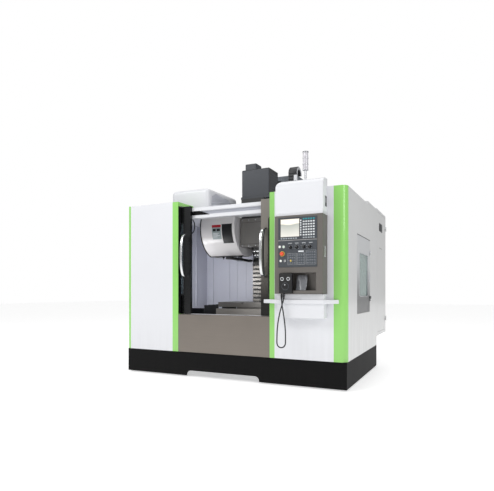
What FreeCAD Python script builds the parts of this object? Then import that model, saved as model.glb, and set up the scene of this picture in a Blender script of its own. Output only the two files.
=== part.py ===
import FreeCAD, Part
import math
import os
import re

V = FreeCAD.Vector

# Vertical machining centre with a moving table, a moving head, a drum tool magazine and an enclosure.
# X runs to the right, Y to the back and Z up. Lengths are in millimetres. In the sheet, depths are
# measured from the front plane of the enclosure; every piece is then moved forward by half the depth,
# so that the origin lies on the floor under the middle of the machine.
SIZES = {
    # enclosure
    "half_width": 1300, "tower_top": 1937, "plinth_top": 270, "plinth_gap": 12, "plinth_wall": 6,
    "side_depth": 1564, "skin": 4, "plinth_cut": 436, "plinth_cut_high": 68, "plinth_cut_round": 60,
    "open_left": 593, "open_right": 515, "post_left": 75, "post_right": 54, "post_deep": 50,
    "corner_left": 38, "corner_right": 126, "corner_deep": 62, "corner_round": 60, "corner_round_left": 20,
    "return_deep": 300, "return_high": 40, "apron_top": 684, "shelf_deep": 112,
    "wall_left": 1110, "wall_right": 1032, "wall_back": 1455, "wall_front": 112, "pan_level": 330,
    "roof_level": 1850, "slot_left": 215, "slot_right": 312, "slot_front": 742, "slot_gap": 8, "cap_high": 31,
    "cap_front": 1006, "cap_wide": 60,
    # beam and rails above the doors
    "beam_low": 1757, "beam_top": 1873, "beam_deep": 60, "groove_low": 1796, "groove_top": 1832,
    "groove_deep": 10, "rail_gap": 3,
    # sliding doors
    "door_wide": 592, "door_deep": 35, "door_front": 60, "door_low": 690, "door_top": 1888,
    "door_reach": 431, "door_gap": 1, "door_rim": 90, "window_low": 900, "window_top": 1700,
    "glass_thick": 6, "fit_gap": 0.3, "guide_wide": 15, "guide_gap": 0.5,
    "handle_low": 1090, "handle_top": 1580, "handle_wide": 28, "handle_bar": 16, "handle_out": 110,
    "handle_in": 12, "handle_in_left": 42, "handle_slope": 90,
    # roof hood
    "hood_left": 900, "hood_right": 384, "hood_front": 300, "hood_back": 1025, "hood_top": 2140,
    "hood_round": 45, "arch_front": 345, "arch_back": 935, "arch_low": 1890, "arch_top": 2098,
    "arch_slope": 130,
    # base casting and ways
    "bed_half": 400, "bed_front": 440, "bed_back": 2100, "bed_low": 60, "bed_top": 500, "pad_round": 55,
    "pad_stem": 16, "pad_thick": 22, "pad_in": 60, "way_near": 230, "way_far": 290, "way_high": 60,
    "run_gap": 0.3, "screw_round": 20, "block_half": 45, "block_long": 40, "block_high": 58,
    "screw_rise": 30, "nut_half": 50, "motor_half": 60, "motor_long": 140,
    # saddle and table
    "axis_deep": 960, "saddle_half": 440, "saddle_deep": 270, "saddle_thick": 80, "xway_near": 160,
    "xway_far": 210, "xway_high": 40, "xscrew_round": 16, "xscrew_rise": 22, "xblock_half": 38,
    "xnut_half": 48, "xmotor_half": 52, "xmotor_rise": 14, "xmotor_long": 120,
    "guard_low": 610, "guard_top": 728, "guard_deep": 50,
    "table_half": 450, "table_deep": 250, "table_top": 805, "table_thick": 60, "carriage_half": 200,
    "carriage_deep": 230, "slot_wide": 18, "slot_under": 30, "slot_high": 14, "slot_depth": 36,
    "slot_pitch": 100, "cover_long": 216, "cover_low": 645, "cover_top": 772, "cover_inset": 10,
    # column and head
    "column_half": 300, "column_front": 1500, "column_back": 2050, "column_top": 2500,
    "zway_near": 180, "zway_far": 240, "zway_deep": 30, "zway_low": 900, "zway_top": 2240,
    "channel_half": 85, "channel_deep": 62, "channel_low": 860, "zscrew_top": 2262, "zscrew_deep": 10,
    "pocket_half": 75, "pocket_deep": 80, "pocket_top": 2440, "zmotor_long": 150,
    "carry_half": 240, "carry_front": 1312, "carry_low": 1290, "head_half": 150, "head_front": 760,
    "head_low": 1490, "head_top": 2070, "znut_low": 1700, "znut_high": 100,
    "nose_low": 1386, "nose_round": 80, "nose_base": 98, "spindle_round": 50, "spindle_fit": 0.05,
    "spindle_low": 1371, "spindle_top": 1700, "flange_round": 62, "taper_mouth": 22.2, "taper_deep": 65,
    "draw_round": 12.5, "draw_deep": 120,
    "shroud_half": 158, "shroud_front": 750, "shroud_back": 1150, "shroud_low": 1484, "shroud_top": 1828,
    "motor_left": 203, "motor_right": 165, "motor_front": 800, "motor_back": 1080, "motor_top": 2430,
    "box_left": 170, "box_right": 20, "box_front": 830, "box_back": 990, "box_top": 2515,
    "zcover_half": 320, "zcover_low": 560, "zcover_deep": 26, "zcover_gap": 4,
    "chain_left": 180, "chain_right": 300, "chain_front": 1400, "chain_thick": 45, "chain_round": 105,
    "chain_foot": 30,
    # tool magazine and change arm
    "drum_round": 345, "drum_level": 1722, "drum_left": 687, "drum_right": 213, "drum_low": 1385,
    "gear_left": 400, "gear_right": 228, "gear_half": 90, "gear_low": 1400, "disc_level": 1640,
    "disc_round": 195, "disc_left": 452, "disc_thick": 28, "axle_round": 20, "pot_ring": 150,
    "pot_round": 32, "pot_long": 100, "pot_count": 12, "arm_spot": 314, "arm_round": 25, "arm_low": 1333,
    "arm_thick": 30, "arm_reach": 275, "arm_wide": 46, "claw_round": 34, "claw_gap": 27, "hub_round": 45,
    "arm_cap": 7, "arm_cap_round": 36, "shaft_top": 1600, "bore_top": 1612,
    # operator panel
    "panel_left": 634, "panel_right": 1113, "panel_reach": 150, "panel_low": 915, "panel_top": 1660,
    "panel_wall": 5, "plate_left": 673, "plate_right": 1057, "plate_thick": 6, "bezel_low": 1430,
    "bezel_top": 1640, "plate_low": 1168, "plate_top": 1418, "screen_left": 699, "screen_right": 886,
    "screen_low": 1454, "screen_top": 1623, "screen_thick": 2, "key_wide": 17, "key_high": 13,
    "key_pitch": 24.5, "key_row": 25, "key_thick": 4, "keys_left": 922, "keys_low": 1436,
    "pocket_left": 689, "pocket_right": 1047, "pocket_low": 946, "pocket_roof": 1114, "pocket_in": 110,
    "canopy_left": 640, "canopy_top": 2005, "canopy_bend": 1925, "canopy_back": 90,
    "lower_left": 640, "lower_right": 1110, "lower_reach": 105, "lower_low": 682, "lower_top": 912,
    "ledge_left": 450, "ledge_right": 1225, "ledge_reach": 125, "ledge_low": 820, "ledge_top": 858,
    "stop_spot": 714, "stop_level": 1296, "stop_round": 20, "stop_stem": 10, "stop_out": 26,
    "stop_travel": 6, "stem_fit": 0.05, "start_spot": 700, "start_level": 1229, "start_round": 11, "start_out": 9, "start_stem": 6, "start_travel": 3,
    "knob_round": 17, "knob_out": 22, "knob_stem": 4, "mode_spot": 796, "feed_spot": 861,
    "speed_spot": 931, "knob_level": 1356, "bush_round": 16, "bush_thick": 4,
    # hand wheel pendant
    "hand_left": 692, "hand_right": 822, "hand_low": 920, "hand_top": 1109, "hand_thick": 38,
    "wheel_round": 30, "wheel_out": 12, "wheel_level": 985, "wheel_stem": 5,
    "cord_round": 6, "gland_round": 11, "gland_long": 20, "hand_exit": 735, "gland_spot": 700,
    "gland_in": 12,
    # signal tower
    "signal_spot": 825, "signal_deep": 208, "pole_round": 12, "foot_round": 34, "foot_thick": 10,
    "lens_low": 2175, "lens_high": 60, "lens_round": 30, "lens_count": 3, "lens_cap": 10,
    # electrical cabinet and side doors
    "cabinet_left": 480, "cabinet_deep": 703, "cabinet_low": 380, "cabinet_top": 1982,
    "leaf_front": 1600, "leaf_back": 2235, "leaf_low": 420, "leaf_top": 1950, "leaf_thick": 22,
    "leaf_gap": 3, "leaf_wall": 30, "side_front": 440, "side_back": 1120, "side_low": 705,
    "side_top": 1530, "pane_front": 549, "pane_back": 995, "pane_low": 887, "pane_top": 1341,
    "hinge_round": 8, "pin_round": 4, "pin_fit": 0.05, "knuckle": 30, "hinge_inset": 120,
    "hinge_out": 9,
}

doc = FreeCAD.newDocument("machining_centre")
sheet = doc.addObject("Spreadsheet::Sheet", "Sizes")
for row, (alias, value) in enumerate(SIZES.items(), start=1):
    sheet.set(f"A{row}", alias)
    sheet.set(f"B{row}", str(value))
    sheet.setAlias(f"B{row}", alias)
doc.recompute()

# The middle of the door opening, which the spindle, the table and the column share.
MID = "((open_right - open_left) / 2)"
# Half the depth between the hand wheel's face and the back of the cabinet.
FORWARD = "((side_depth + cabinet_deep - panel_reach - hand_thick - wheel_out) / 2)"
PIECES = {}


def link(text):
    """An expression with the sheet's name put before each alias."""
    return re.sub(r"[a-z_]+", lambda m: "Sizes." + m.group() if m.group() in SIZES else m.group(), str(text))


def size(alias):
    """One size of the sheet as a plain number."""
    return float(sheet.get(alias))


def bind(item, **values):
    """Tie each property of an object to an expression of the sheet's sizes."""
    for key, text in values.items():
        item.setExpression(key, link(text))
    return item


def place(item, x="0", y="0", z="0"):
    """Tie an object's position to the sheet, with y counted from the front plane."""
    item.setExpression(".Placement.Base.x", link(x))
    item.setExpression(".Placement.Base.y", link(f"({y}) - {FORWARD}"))
    item.setExpression(".Placement.Base.z", link(z))
    return item


def box(name, x, y, z):
    """A block between two limits on each axis."""
    item = doc.addObject("Part::Box", name)
    bind(item, Length=f"({x[1]}) - ({x[0]})", Width=f"({y[1]}) - ({y[0]})", Height=f"({z[1]}) - ({z[0]})")
    return place(item, x[0], y[0], z[0])


TURN = {"z": (V(0, 0, 1), 0), "x": (V(0, 1, 0), 90), "y": (V(1, 0, 0), -90)}


def rod(name, axis, x, y, z, radius, long):
    """A cylinder that starts at a point and runs along +x, +y or +z."""
    item = doc.addObject("Part::Cylinder", name)
    bind(item, Radius=radius, Height=long)
    direction, angle = TURN[axis]
    item.Placement = FreeCAD.Placement(V(), FreeCAD.Rotation(direction, angle))
    return place(item, x, y, z)


def cone(name, x, y, z, low, top, long):
    """A cone frustum that runs along +z, with its radius at the foot and at the top."""
    item = doc.addObject("Part::Cone", name)
    bind(item, Radius1=low, Radius2=top, Height=long)
    return place(item, x, y, z)


def join(name, items):
    """One object of several, fused where they meet."""
    item = doc.addObject("Part::MultiFuse", name)
    item.Shapes = items
    item.Refine = True
    return item


def cut(name, base, tools):
    """A base with one or more tools taken out of it."""
    item = doc.addObject("Part::Cut", name)
    item.Base = base
    item.Tool = tools[0] if len(tools) == 1 else join(name + "_tools", tools)
    item.Refine = True
    return item


def round_edges(name, base, radius, chosen):
    """A base with the edges that a test chooses rounded to a radius."""
    doc.recompute()
    item = doc.addObject("Part::Fillet", name)
    item.Base = base
    edges = enumerate(base.Shape.Edges, start=1)
    item.Edges = [(number, radius, radius) for number, edge in edges if chosen(edge)]
    return item


def plane_of(body, role):
    """One of a body's own origin planes."""
    return next(item for item in body.Origin.OriginFeatures if item.Role == role)


def outline(body, name, role, points):
    """A closed sketch of straight sides whose corners are tied to the sheet."""
    sketch = body.newObject("Sketcher::SketchObject", name)
    sketch.AttachmentSupport = [(plane_of(body, role), "")]
    sketch.MapMode = "FlatFace"
    guess = [(math.cos(2 * math.pi * k / len(points)), math.sin(2 * math.pi * k / len(points)))
             for k in range(len(points))]
    for k, start in enumerate(guess):
        end = guess[(k + 1) % len(points)]
        sketch.addGeometry(Part.LineSegment(V(*start, 0), V(*end, 0)), False)
    import Sketcher
    for k in range(len(points)):
        sketch.addConstraint(Sketcher.Constraint("Coincident", k, 2, (k + 1) % len(points), 1))
    for k, (across, up) in enumerate(points):
        for kind, text, letter in (("DistanceX", across, "u"), ("DistanceY", up, "v")):
            index = sketch.addConstraint(Sketcher.Constraint(kind, -1, 1, k, 1, guess[k][kind == "DistanceY"]))
            sketch.renameConstraint(index, f"{letter}{k}")
            sketch.setExpression(f"Constraints.{letter}{k}", link(text))
    return sketch


def slab(name, role, points, low, high):
    """A straight-sided outline padded between two limits along the plane's normal.

    The side outline (YZ_Plane) runs along x, the front outline (XZ_Plane) along y, the plan along z.
    """
    body = doc.addObject("PartDesign::Body", name)
    sketch = outline(body, name + "_outline", role, points)
    pad = body.newObject("PartDesign::Pad", name + "_pad")
    pad.Profile = sketch
    bind(pad, Length=f"({high}) - ({low})")
    if role == "XZ_Plane":
        pad.Reversed = True
    start = {"YZ_Plane": (low, "0", "0"), "XZ_Plane": ("0", low, "0"), "XY_Plane": ("0", "0", low)}[role]
    return place(body, *start)


def lathe(name, points, x, y, z):
    """A straight-sided outline (radius, height) turned about the vertical axis at a point."""
    body = doc.addObject("PartDesign::Body", name)
    sketch = outline(body, name + "_outline", "XZ_Plane", points)
    turned = body.newObject("PartDesign::Revolution", name + "_turned")
    turned.Profile = sketch
    turned.ReferenceAxis = (sketch, ["V_Axis"])
    turned.Angle = 360
    return place(body, x, y, z)


def turned_front(name, points, x, y, z):
    """A straight-sided outline (radius, reach) turned about a line that points to the front."""
    body = lathe(name, points, x, y, z)
    body.Placement = FreeCAD.Placement(V(), FreeCAD.Rotation(V(1, 0, 0), 90))
    return place(body, x, y, z)


def piece(node, item):
    """Give an object its node's label and keep it for the export."""
    item.Label = node
    PIECES[node] = item
    return item


def upright(edge):
    """True for a straight edge that stands up."""
    return abs(edge.BoundBox.ZLength - edge.Length) < 1e-6


def spot(edge, x=None, y=None, z=None):
    """True where an edge's middle lies at the given places, y counted from the origin."""
    middle = edge.BoundBox.Center
    pairs = ((x, middle.x), (y, middle.y), (z, middle.z))
    return all(want is None or abs(want - have) < 0.01 for want, have in pairs)


def forward():
    """Half the depth, as a number."""
    front = size("panel_reach") + size("hand_thick") + size("wheel_out")
    return (size("side_depth") + size("cabinet_deep") - front) / 2


# ---------------------------------------------------------------- base, column and ways

def bed():
    """Base casting with two guideways along Y and the two bearing blocks of the Y screw."""
    level = "bed_top + screw_rise"
    parts = [box("bed_block", (f"{MID} - bed_half", f"{MID} + bed_half"), ("bed_front", "bed_back"),
                 ("bed_low", "bed_top"))]
    for side, low, high in (("left", "- way_far", "- way_near"), ("right", "+ way_near", "+ way_far")):
        parts.append(box(f"bed_way_{side}", (f"{MID} {low}", f"{MID} {high}"), ("bed_front", "column_front"),
                         ("bed_top", "bed_top + way_high")))
    parts += [box("bed_block_front", (f"{MID} - block_half", f"{MID} + block_half"),
                  ("bed_front", "bed_front + block_long"), ("bed_top", "bed_top + block_high")),
              box("bed_block_back", (f"{MID} - block_half", f"{MID} + block_half"),
                  ("column_front - block_long", "column_front"), ("bed_top", "bed_top + block_high"))]
    bore = rod("bed_bore", "y", MID, "bed_front", level, "screw_round + run_gap", "column_front - bed_front")
    piece("bed_casting", cut("bed", join("bed_parts", parts), [bore]))
    piece("y_screw", rod("yscrew", "y", MID, "bed_front", level, "screw_round", "column_front - bed_front"))


def pads():
    """Six levelling pads with stems under the base casting."""
    items = []
    for row, deep in enumerate(("bed_front + pad_in", "(bed_front + bed_back) / 2", "bed_back - pad_in")):
        for side, sign in (("left", "-"), ("right", "+")):
            across = f"{MID} {sign} (bed_half - pad_in)"
            foot = rod(f"pad_foot_{row}_{side}", "z", across, deep, "0", "pad_round", "pad_thick")
            stem = rod(f"pad_stem_{row}_{side}", "z", across, deep, "pad_thick", "pad_stem", "bed_low - pad_thick")
            items += [foot, stem]
    piece("leveling_pads", join("pads", items))


def column():
    """Column with its two Z guideways, the screw's channel and bearing blocks, and the motor's pocket."""
    parts = [box("column_block", (f"{MID} - column_half", f"{MID} + column_half"),
                 ("column_front", "column_back"), ("bed_top", "column_top"))]
    for side, low, high in (("left", "- zway_far", "- zway_near"), ("right", "+ zway_near", "+ zway_far")):
        parts.append(box(f"zway_{side}", (f"{MID} {low}", f"{MID} {high}"),
                         ("column_front - zway_deep", "column_front"), ("zway_low", "zway_top")))
    channel = box("channel", (f"{MID} - channel_half", f"{MID} + channel_half"),
                  ("column_front", "column_front + channel_deep"), ("channel_low", "zscrew_top"))
    pocket = box("motor_pocket", (f"{MID} - pocket_half", f"{MID} + pocket_half"),
                 ("column_front", "column_front + pocket_deep"), ("zscrew_top", "pocket_top"))
    body = cut("column_cut", join("column_parts", parts), [channel, pocket])
    blocks = []
    for place_name, low in (("low", "channel_low"), ("top", "zscrew_top - block_long")):
        blocks.append(box(f"zblock_{place_name}", (f"{MID} - channel_half", f"{MID} + channel_half"),
                          ("column_front", "column_front + channel_deep"), (low, f"{low} + block_long")))
    # the bearing bores are larger than the screw by the running gap
    bore = rod("zbore", "z", MID, "column_front + zscrew_deep + screw_round", "channel_low",
               "screw_round + run_gap", "zscrew_top - channel_low")
    piece("column_casting", cut("column", join("column_blocks", [body] + blocks), [bore]))
    piece("z_screw", rod("zscrew", "z", MID, "column_front + zscrew_deep + screw_round",
                         "channel_low", "screw_round", "zscrew_top - channel_low"))


def fixed_motors():
    """Y motor on the base's front face and Z motor in the column's pocket."""
    rise = "bed_top + screw_rise"
    ymotor = box("ymotor", (f"{MID} - motor_half", f"{MID} + motor_half"),
                 ("bed_front - motor_long", "bed_front"), (f"{rise} - motor_half", f"{rise} + motor_half"))
    deep = "column_front + zscrew_deep + screw_round"
    zmotor = box("zmotor", (f"{MID} - motor_half", f"{MID} + motor_half"),
                 (f"{deep} - motor_half", f"column_front + pocket_deep"),
                 ("zscrew_top", "zscrew_top + zmotor_long"))
    piece("axis_motors", join("motors", [ymotor, zmotor]))


# ---------------------------------------------------------------- saddle and table

SADDLE_LOW = "(bed_top + way_high + run_gap)"
SADDLE_TOP = f"({SADDLE_LOW} + saddle_thick)"
XSCREW = f"({SADDLE_TOP} + xscrew_rise)"
CARRIAGE_LOW = f"({SADDLE_TOP} + xway_high + run_gap)"


def saddle():
    """Saddle with the Y nut below and the X guideways and bearing blocks on top."""
    parts = [box("saddle_block", (f"{MID} - saddle_half", f"{MID} + saddle_half"),
                 ("axis_deep - saddle_deep", "axis_deep + saddle_deep"), (SADDLE_LOW, SADDLE_TOP)),
             box("ynut", (f"{MID} - nut_half", f"{MID} + nut_half"), ("axis_deep - nut_half", "axis_deep + nut_half"),
                 ("bed_top + run_gap", SADDLE_LOW))]
    for side, low, high in (("front", "- xway_far", "- xway_near"), ("back", "+ xway_near", "+ xway_far")):
        parts.append(box(f"xway_{side}", (f"{MID} - saddle_half", f"{MID} + saddle_half"),
                         (f"axis_deep {low}", f"axis_deep {high}"), (SADDLE_TOP, f"{SADDLE_TOP} + xway_high")))
    for side, low, high in (("left", "- saddle_half", "- saddle_half + block_long"),
                            ("right", "+ saddle_half - block_long", "+ saddle_half")):
        parts.append(box(f"xblock_{side}", (f"{MID} {low}", f"{MID} {high}"),
                         ("axis_deep - xblock_half", "axis_deep + xblock_half"),
                         (SADDLE_TOP, f"{SADDLE_TOP} + xblock_half")))
    ybore = rod("ynut_bore", "y", MID, "axis_deep - nut_half", "bed_top + screw_rise",
                "screw_round + run_gap", "2 * nut_half")
    xbore = rod("xblock_bore", "x", f"{MID} - saddle_half", "axis_deep", XSCREW,
                "xscrew_round + run_gap", "2 * saddle_half")
    piece("saddle", cut("saddle_body", join("saddle_parts", parts), [ybore, xbore]))
    piece("x_screw", rod("xscrew", "x", f"{MID} - saddle_half", "axis_deep", XSCREW, "xscrew_round",
                         "2 * saddle_half"))
    piece("x_motor", box("xmotor", (f"{MID} + saddle_half", f"{MID} + saddle_half + xmotor_long"),
                         ("axis_deep - xmotor_half", "axis_deep + xmotor_half"),
                         (f"{XSCREW} + xmotor_rise - 2 * xmotor_half", f"{XSCREW} + xmotor_rise")))


def saddle_guard():
    """Folded guard in front of the saddle, a front plate with a foot on the saddle's front face."""
    front = "axis_deep - saddle_deep - guard_deep"
    plate = box("guard_plate", (f"{MID} - saddle_half", f"{MID} + saddle_half"), (front, f"{front} + skin"),
                ("guard_low", "guard_top"))
    top = box("guard_top_fold", (f"{MID} - saddle_half", f"{MID} + saddle_half"), (front, "axis_deep - saddle_deep"),
              ("guard_top - skin", "guard_top"))
    foot = box("guard_foot", (f"{MID} - saddle_half", f"{MID} + saddle_half"), (front, "axis_deep - saddle_deep"),
               ("guard_low", "guard_low + skin"))
    back = box("guard_back", (f"{MID} - saddle_half", f"{MID} + saddle_half"),
               ("axis_deep - saddle_deep - skin", "axis_deep - saddle_deep"), ("guard_low", "guard_top"))
    piece("saddle_guard", join("guard", [plate, top, foot, back]))


def table():
    """Table with T-slots along X, its carriage and the X nut."""
    low = "table_top - table_thick"
    parts = [box("table_plate", (f"{MID} - table_half", f"{MID} + table_half"),
                 ("axis_deep - table_deep", "axis_deep + table_deep"), (low, "table_top")),
             box("carriage", (f"{MID} - carriage_half", f"{MID} + carriage_half"),
                 ("axis_deep - carriage_deep", "axis_deep + carriage_deep"), (CARRIAGE_LOW, low)),
             box("xnut", (f"{MID} - xnut_half", f"{MID} + xnut_half"),
                 ("axis_deep - xblock_half", "axis_deep + xblock_half"),
                 (f"{SADDLE_TOP} + run_gap", CARRIAGE_LOW))]
    tools = [rod("xnut_bore", "x", f"{MID} - xnut_half", "axis_deep", XSCREW, "xscrew_round + run_gap",
                 "2 * xnut_half")]
    for number, step in enumerate((-2, -1, 0, 1, 2)):
        deep = f"axis_deep + {step} * slot_pitch"
        tools.append(box(f"tslot_{number}", (f"{MID} - table_half", f"{MID} + table_half"),
                         (f"{deep} - slot_wide / 2", f"{deep} + slot_wide / 2"),
                         ("table_top - slot_depth", "table_top")))
        tools.append(box(f"tslot_foot_{number}", (f"{MID} - table_half", f"{MID} + table_half"),
                         (f"{deep} - slot_under / 2", f"{deep} + slot_under / 2"),
                         ("table_top - slot_depth", "table_top - slot_depth + slot_high")))
    piece("table", cut("table_body", join("table_parts", parts), tools))


def table_covers():
    """Two channel-shaped way covers, one on each end of the table, open below."""
    items = []
    front, back = "axis_deep - table_deep + cover_inset", "axis_deep + table_deep - cover_inset"
    spans = {"left": (f"{MID} - table_half - cover_long", f"{MID} - table_half"),
             "right": (f"{MID} + table_half", f"{MID} + table_half + cover_long")}
    for side, span in spans.items():
        outer = box(f"cover_outer_{side}", span, (front, back), ("cover_low", "cover_top"))
        inner = box(f"cover_inner_{side}", span, (f"{front} + skin", f"{back} - skin"),
                    ("cover_low", "cover_top - skin"))
        items.append(cut(f"cover_{side}", outer, [inner]))
    piece("table_covers", join("covers", items))


# ---------------------------------------------------------------- head

def head():
    """Head casting: the carriage on the column, the arm, the nut, the nose and the spindle's bore."""
    deep = "column_front + zscrew_deep + screw_round"
    parts = [box("carry", (f"{MID} - carry_half", f"{MID} + carry_half"),
                 ("carry_front", "column_front - zway_deep - run_gap"), ("carry_low + run_gap", "head_top")),
             box("arm_block", (f"{MID} - head_half", f"{MID} + head_half"), ("head_front", "carry_front"),
                 ("head_low", "head_top")),
             box("znut", (f"{MID} - nut_half", f"{MID} + nut_half"),
                 ("column_front - zway_deep - run_gap", "column_front + channel_deep - block_long / 10"),
                 ("znut_low", "znut_low + znut_high")),
             box("chain_bracket", ("carry_half / 2", "chain_right"), ("chain_front", "chain_front + chain_thick"),
                 ("head_top - chain_foot", "head_top")),
             cone("nose", MID, "axis_deep", "nose_low", "nose_round", "nose_base", "head_low - nose_low")]
    tools = [rod("znut_bore", "z", MID, deep, "znut_low", "screw_round + run_gap", "znut_high"),
             rod("spindle_bore", "z", MID, "axis_deep", "nose_low", "spindle_round + spindle_fit",
                 "spindle_top + run_gap - nose_low")]
    piece("head_casting", cut("head_body", join("head_parts", parts), tools))


def spindle():
    """Spindle turned with a nose flange, a tapered mouth and a drawbar bore."""
    top, flange = "spindle_top - spindle_low", "nose_low - run_gap - spindle_low"
    points = [("taper_mouth", "0"), ("flange_round", "0"), ("flange_round", flange), ("spindle_round", flange),
              ("spindle_round", top), ("draw_round", top), ("draw_round", "taper_deep"),
              ]
    piece("spindle", lathe("spindle_turned", points, MID, "axis_deep", "spindle_low"))


def head_covers():
    """Sheet cover round the head's arm, open at the back, and the spindle motor on top."""
    outer = box("shroud_outer", (f"{MID} - shroud_half", f"{MID} + shroud_half"), ("shroud_front", "shroud_back"),
                ("shroud_low", "shroud_top"))
    inner = box("shroud_inner", (f"{MID} - shroud_half + skin", f"{MID} + shroud_half - skin"),
                ("shroud_front + skin", "shroud_back"), ("shroud_low", "shroud_top"))
    floor = box("shroud_floor", (f"{MID} - shroud_half", f"{MID} + shroud_half"), ("shroud_front", "shroud_back"),
                ("shroud_low", "head_low"))
    hole = rod("shroud_hole", "z", MID, "axis_deep", "shroud_low", "nose_base", "head_low - shroud_low")
    rim = box("shroud_rim", (f"{MID} - shroud_half", f"{MID} + shroud_half"), ("shroud_front", "head_front"),
              ("shroud_top - skin", "shroud_top"))
    side = cut("shroud_side", outer, [inner])
    piece("head_cover", join("shroud", [side, cut("shroud_foot", floor, [hole]), rim]))
    motor = box("spindle_motor_block", ("- motor_left", "motor_right"), ("motor_front", "motor_back"),
                ("head_top", "motor_top"))
    terminal = box("terminal_box", ("- box_left", "- box_right"), ("box_front", "box_back"),
                   ("motor_top", "box_top"))
    piece("spindle_motor", join("motor_parts", [motor, terminal]))


def column_covers():
    """Folding cover in front of the Z ways, and the cable chain from the head to the column's top."""
    back = "column_front - zway_deep - zcover_gap"
    piece("z_cover", box("zcover", (f"{MID} - zcover_half", f"{MID} + zcover_half"),
                         (f"{back} - zcover_deep", back), ("zcover_low", "carry_low")))
    ring = rod("chain_ring", "x", "chain_left", "chain_front + chain_round", "column_top", "chain_round",
               "chain_right - chain_left")
    hole = rod("chain_hole", "x", "chain_left", "chain_front + chain_round", "column_top",
               "chain_round - chain_thick", "chain_right - chain_left")
    lower = box("chain_lower", ("chain_left", "chain_right"), ("chain_front", "chain_front + 2 * chain_round"),
                ("column_top - chain_round", "column_top"))
    arch = cut("chain_arch", ring, [hole, lower])
    leg = box("chain_leg", ("chain_left", "chain_right"), ("chain_front", "chain_front + chain_thick"),
              ("head_top", "column_top"))
    piece("cable_chain", join("chain", [arch, leg]))


# ---------------------------------------------------------------- tool magazine

def magazine():
    """Drum cover, gearbox, tool disc with pots, arm shaft and change arm."""
    span, across = ("- drum_left", "- drum_right"), "drum_left - drum_right"
    outer = rod("drum_outer", "x", span[0], "axis_deep", "drum_level", "drum_round", across)
    inner = rod("drum_inner", "x", "- drum_left + skin", "axis_deep", "drum_level", "drum_round - skin",
                f"{across} - 2 * skin")
    keep = box("drum_keep", span, ("axis_deep - drum_round", "axis_deep + drum_round"), ("drum_low", "roof_level"))
    lid = box("drum_lid", span, ("axis_deep - drum_round", "axis_deep + drum_round"),
              ("roof_level - skin", "roof_level"))
    room = doc.addObject("Part::Common", "drum_body")
    room.Base, room.Tool = outer, keep
    hollow = cut("drum_hollow", room, [cut("drum_inner_low", inner, [lid])])
    piece("magazine_cover", hollow)
    gear = box("gear_block", ("- gear_left", "- gear_right"), ("axis_deep - gear_half", "axis_deep + gear_half"),
               ("gear_low", "roof_level - skin"))
    axle = rod("disc_axle", "x", "- disc_left", "axis_deep", "disc_level", "axle_round", "disc_left - gear_left")
    bore = rod("shaft_bore", "z", "- arm_spot", "axis_deep", "gear_low", "arm_round + spindle_fit",
               "bore_top - gear_low")
    piece("arm_drive", cut("gear", join("gear_parts", [gear, axle]), [bore]))
    parts = [rod("disc_plate", "x", "- disc_left", "axis_deep", "disc_level", "disc_round", "disc_thick")]
    holes = [rod("disc_bore", "x", "- disc_left", "axis_deep", "disc_level", "axle_round + spindle_fit",
                 "disc_thick")]
    for number in range(int(size("pot_count"))):
        angle = f"({number} * 360 / pot_count)"
        deep, level = f"axis_deep + pot_ring * sin({angle} * 1 deg)", f"disc_level + pot_ring * cos({angle} * 1 deg)"
        parts.append(rod(f"pot_{number}", "x", "- disc_left - pot_long", deep, level, "pot_round", "pot_long"))
    piece("magazine_disc", cut("disc", join("disc_parts", parts), holes))


def change_arm():
    """Arm shaft with its end cap, and the double arm with a claw at each end."""
    shaft = rod("arm_rod", "z", "- arm_spot", "axis_deep", "arm_low - run_gap", "arm_round",
                "shaft_top - arm_low + run_gap")
    cap = rod("arm_cap_disc", "z", "- arm_spot", "axis_deep", "arm_low - run_gap - arm_cap", "arm_cap_round",
              "arm_cap")
    piece("arm_shaft", join("arm_shaft_parts", [shaft, cap]))
    hub = rod("arm_hub", "z", "- arm_spot", "axis_deep", "arm_low", "hub_round", "arm_thick")
    bar = box("arm_bar", ("- arm_spot - arm_wide / 2", "- arm_spot + arm_wide / 2"),
              ("axis_deep - arm_reach", "axis_deep + arm_reach"), ("arm_low", "arm_low + arm_thick"))
    parts, tools = [hub, bar], [rod("arm_bore", "z", "- arm_spot", "axis_deep", "arm_low", "arm_round + spindle_fit",
                                    "arm_thick")]
    for side, sign in (("front", "-"), ("back", "+")):
        deep = f"axis_deep {sign} arm_reach"
        parts.append(rod(f"claw_{side}", "z", "- arm_spot", deep, "arm_low", "claw_round + claw_gap / 2",
                         "arm_thick"))
        tools.append(rod(f"claw_hole_{side}", "z", "- arm_spot", deep, "arm_low", "claw_gap", "arm_thick"))
        mouth = ("- arm_spot", "- arm_spot + 2 * claw_round") if sign == "-" else ("- arm_spot - 2 * claw_round",
                                                                                   "- arm_spot")
        tools.append(box(f"claw_mouth_{side}", mouth, (f"{deep} - claw_gap", f"{deep} + claw_gap"),
                         ("arm_low", "arm_low + arm_thick")))
    piece("change_arm", cut("arm_body", join("arm_parts", parts), tools))


# ---------------------------------------------------------------- enclosure

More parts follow.
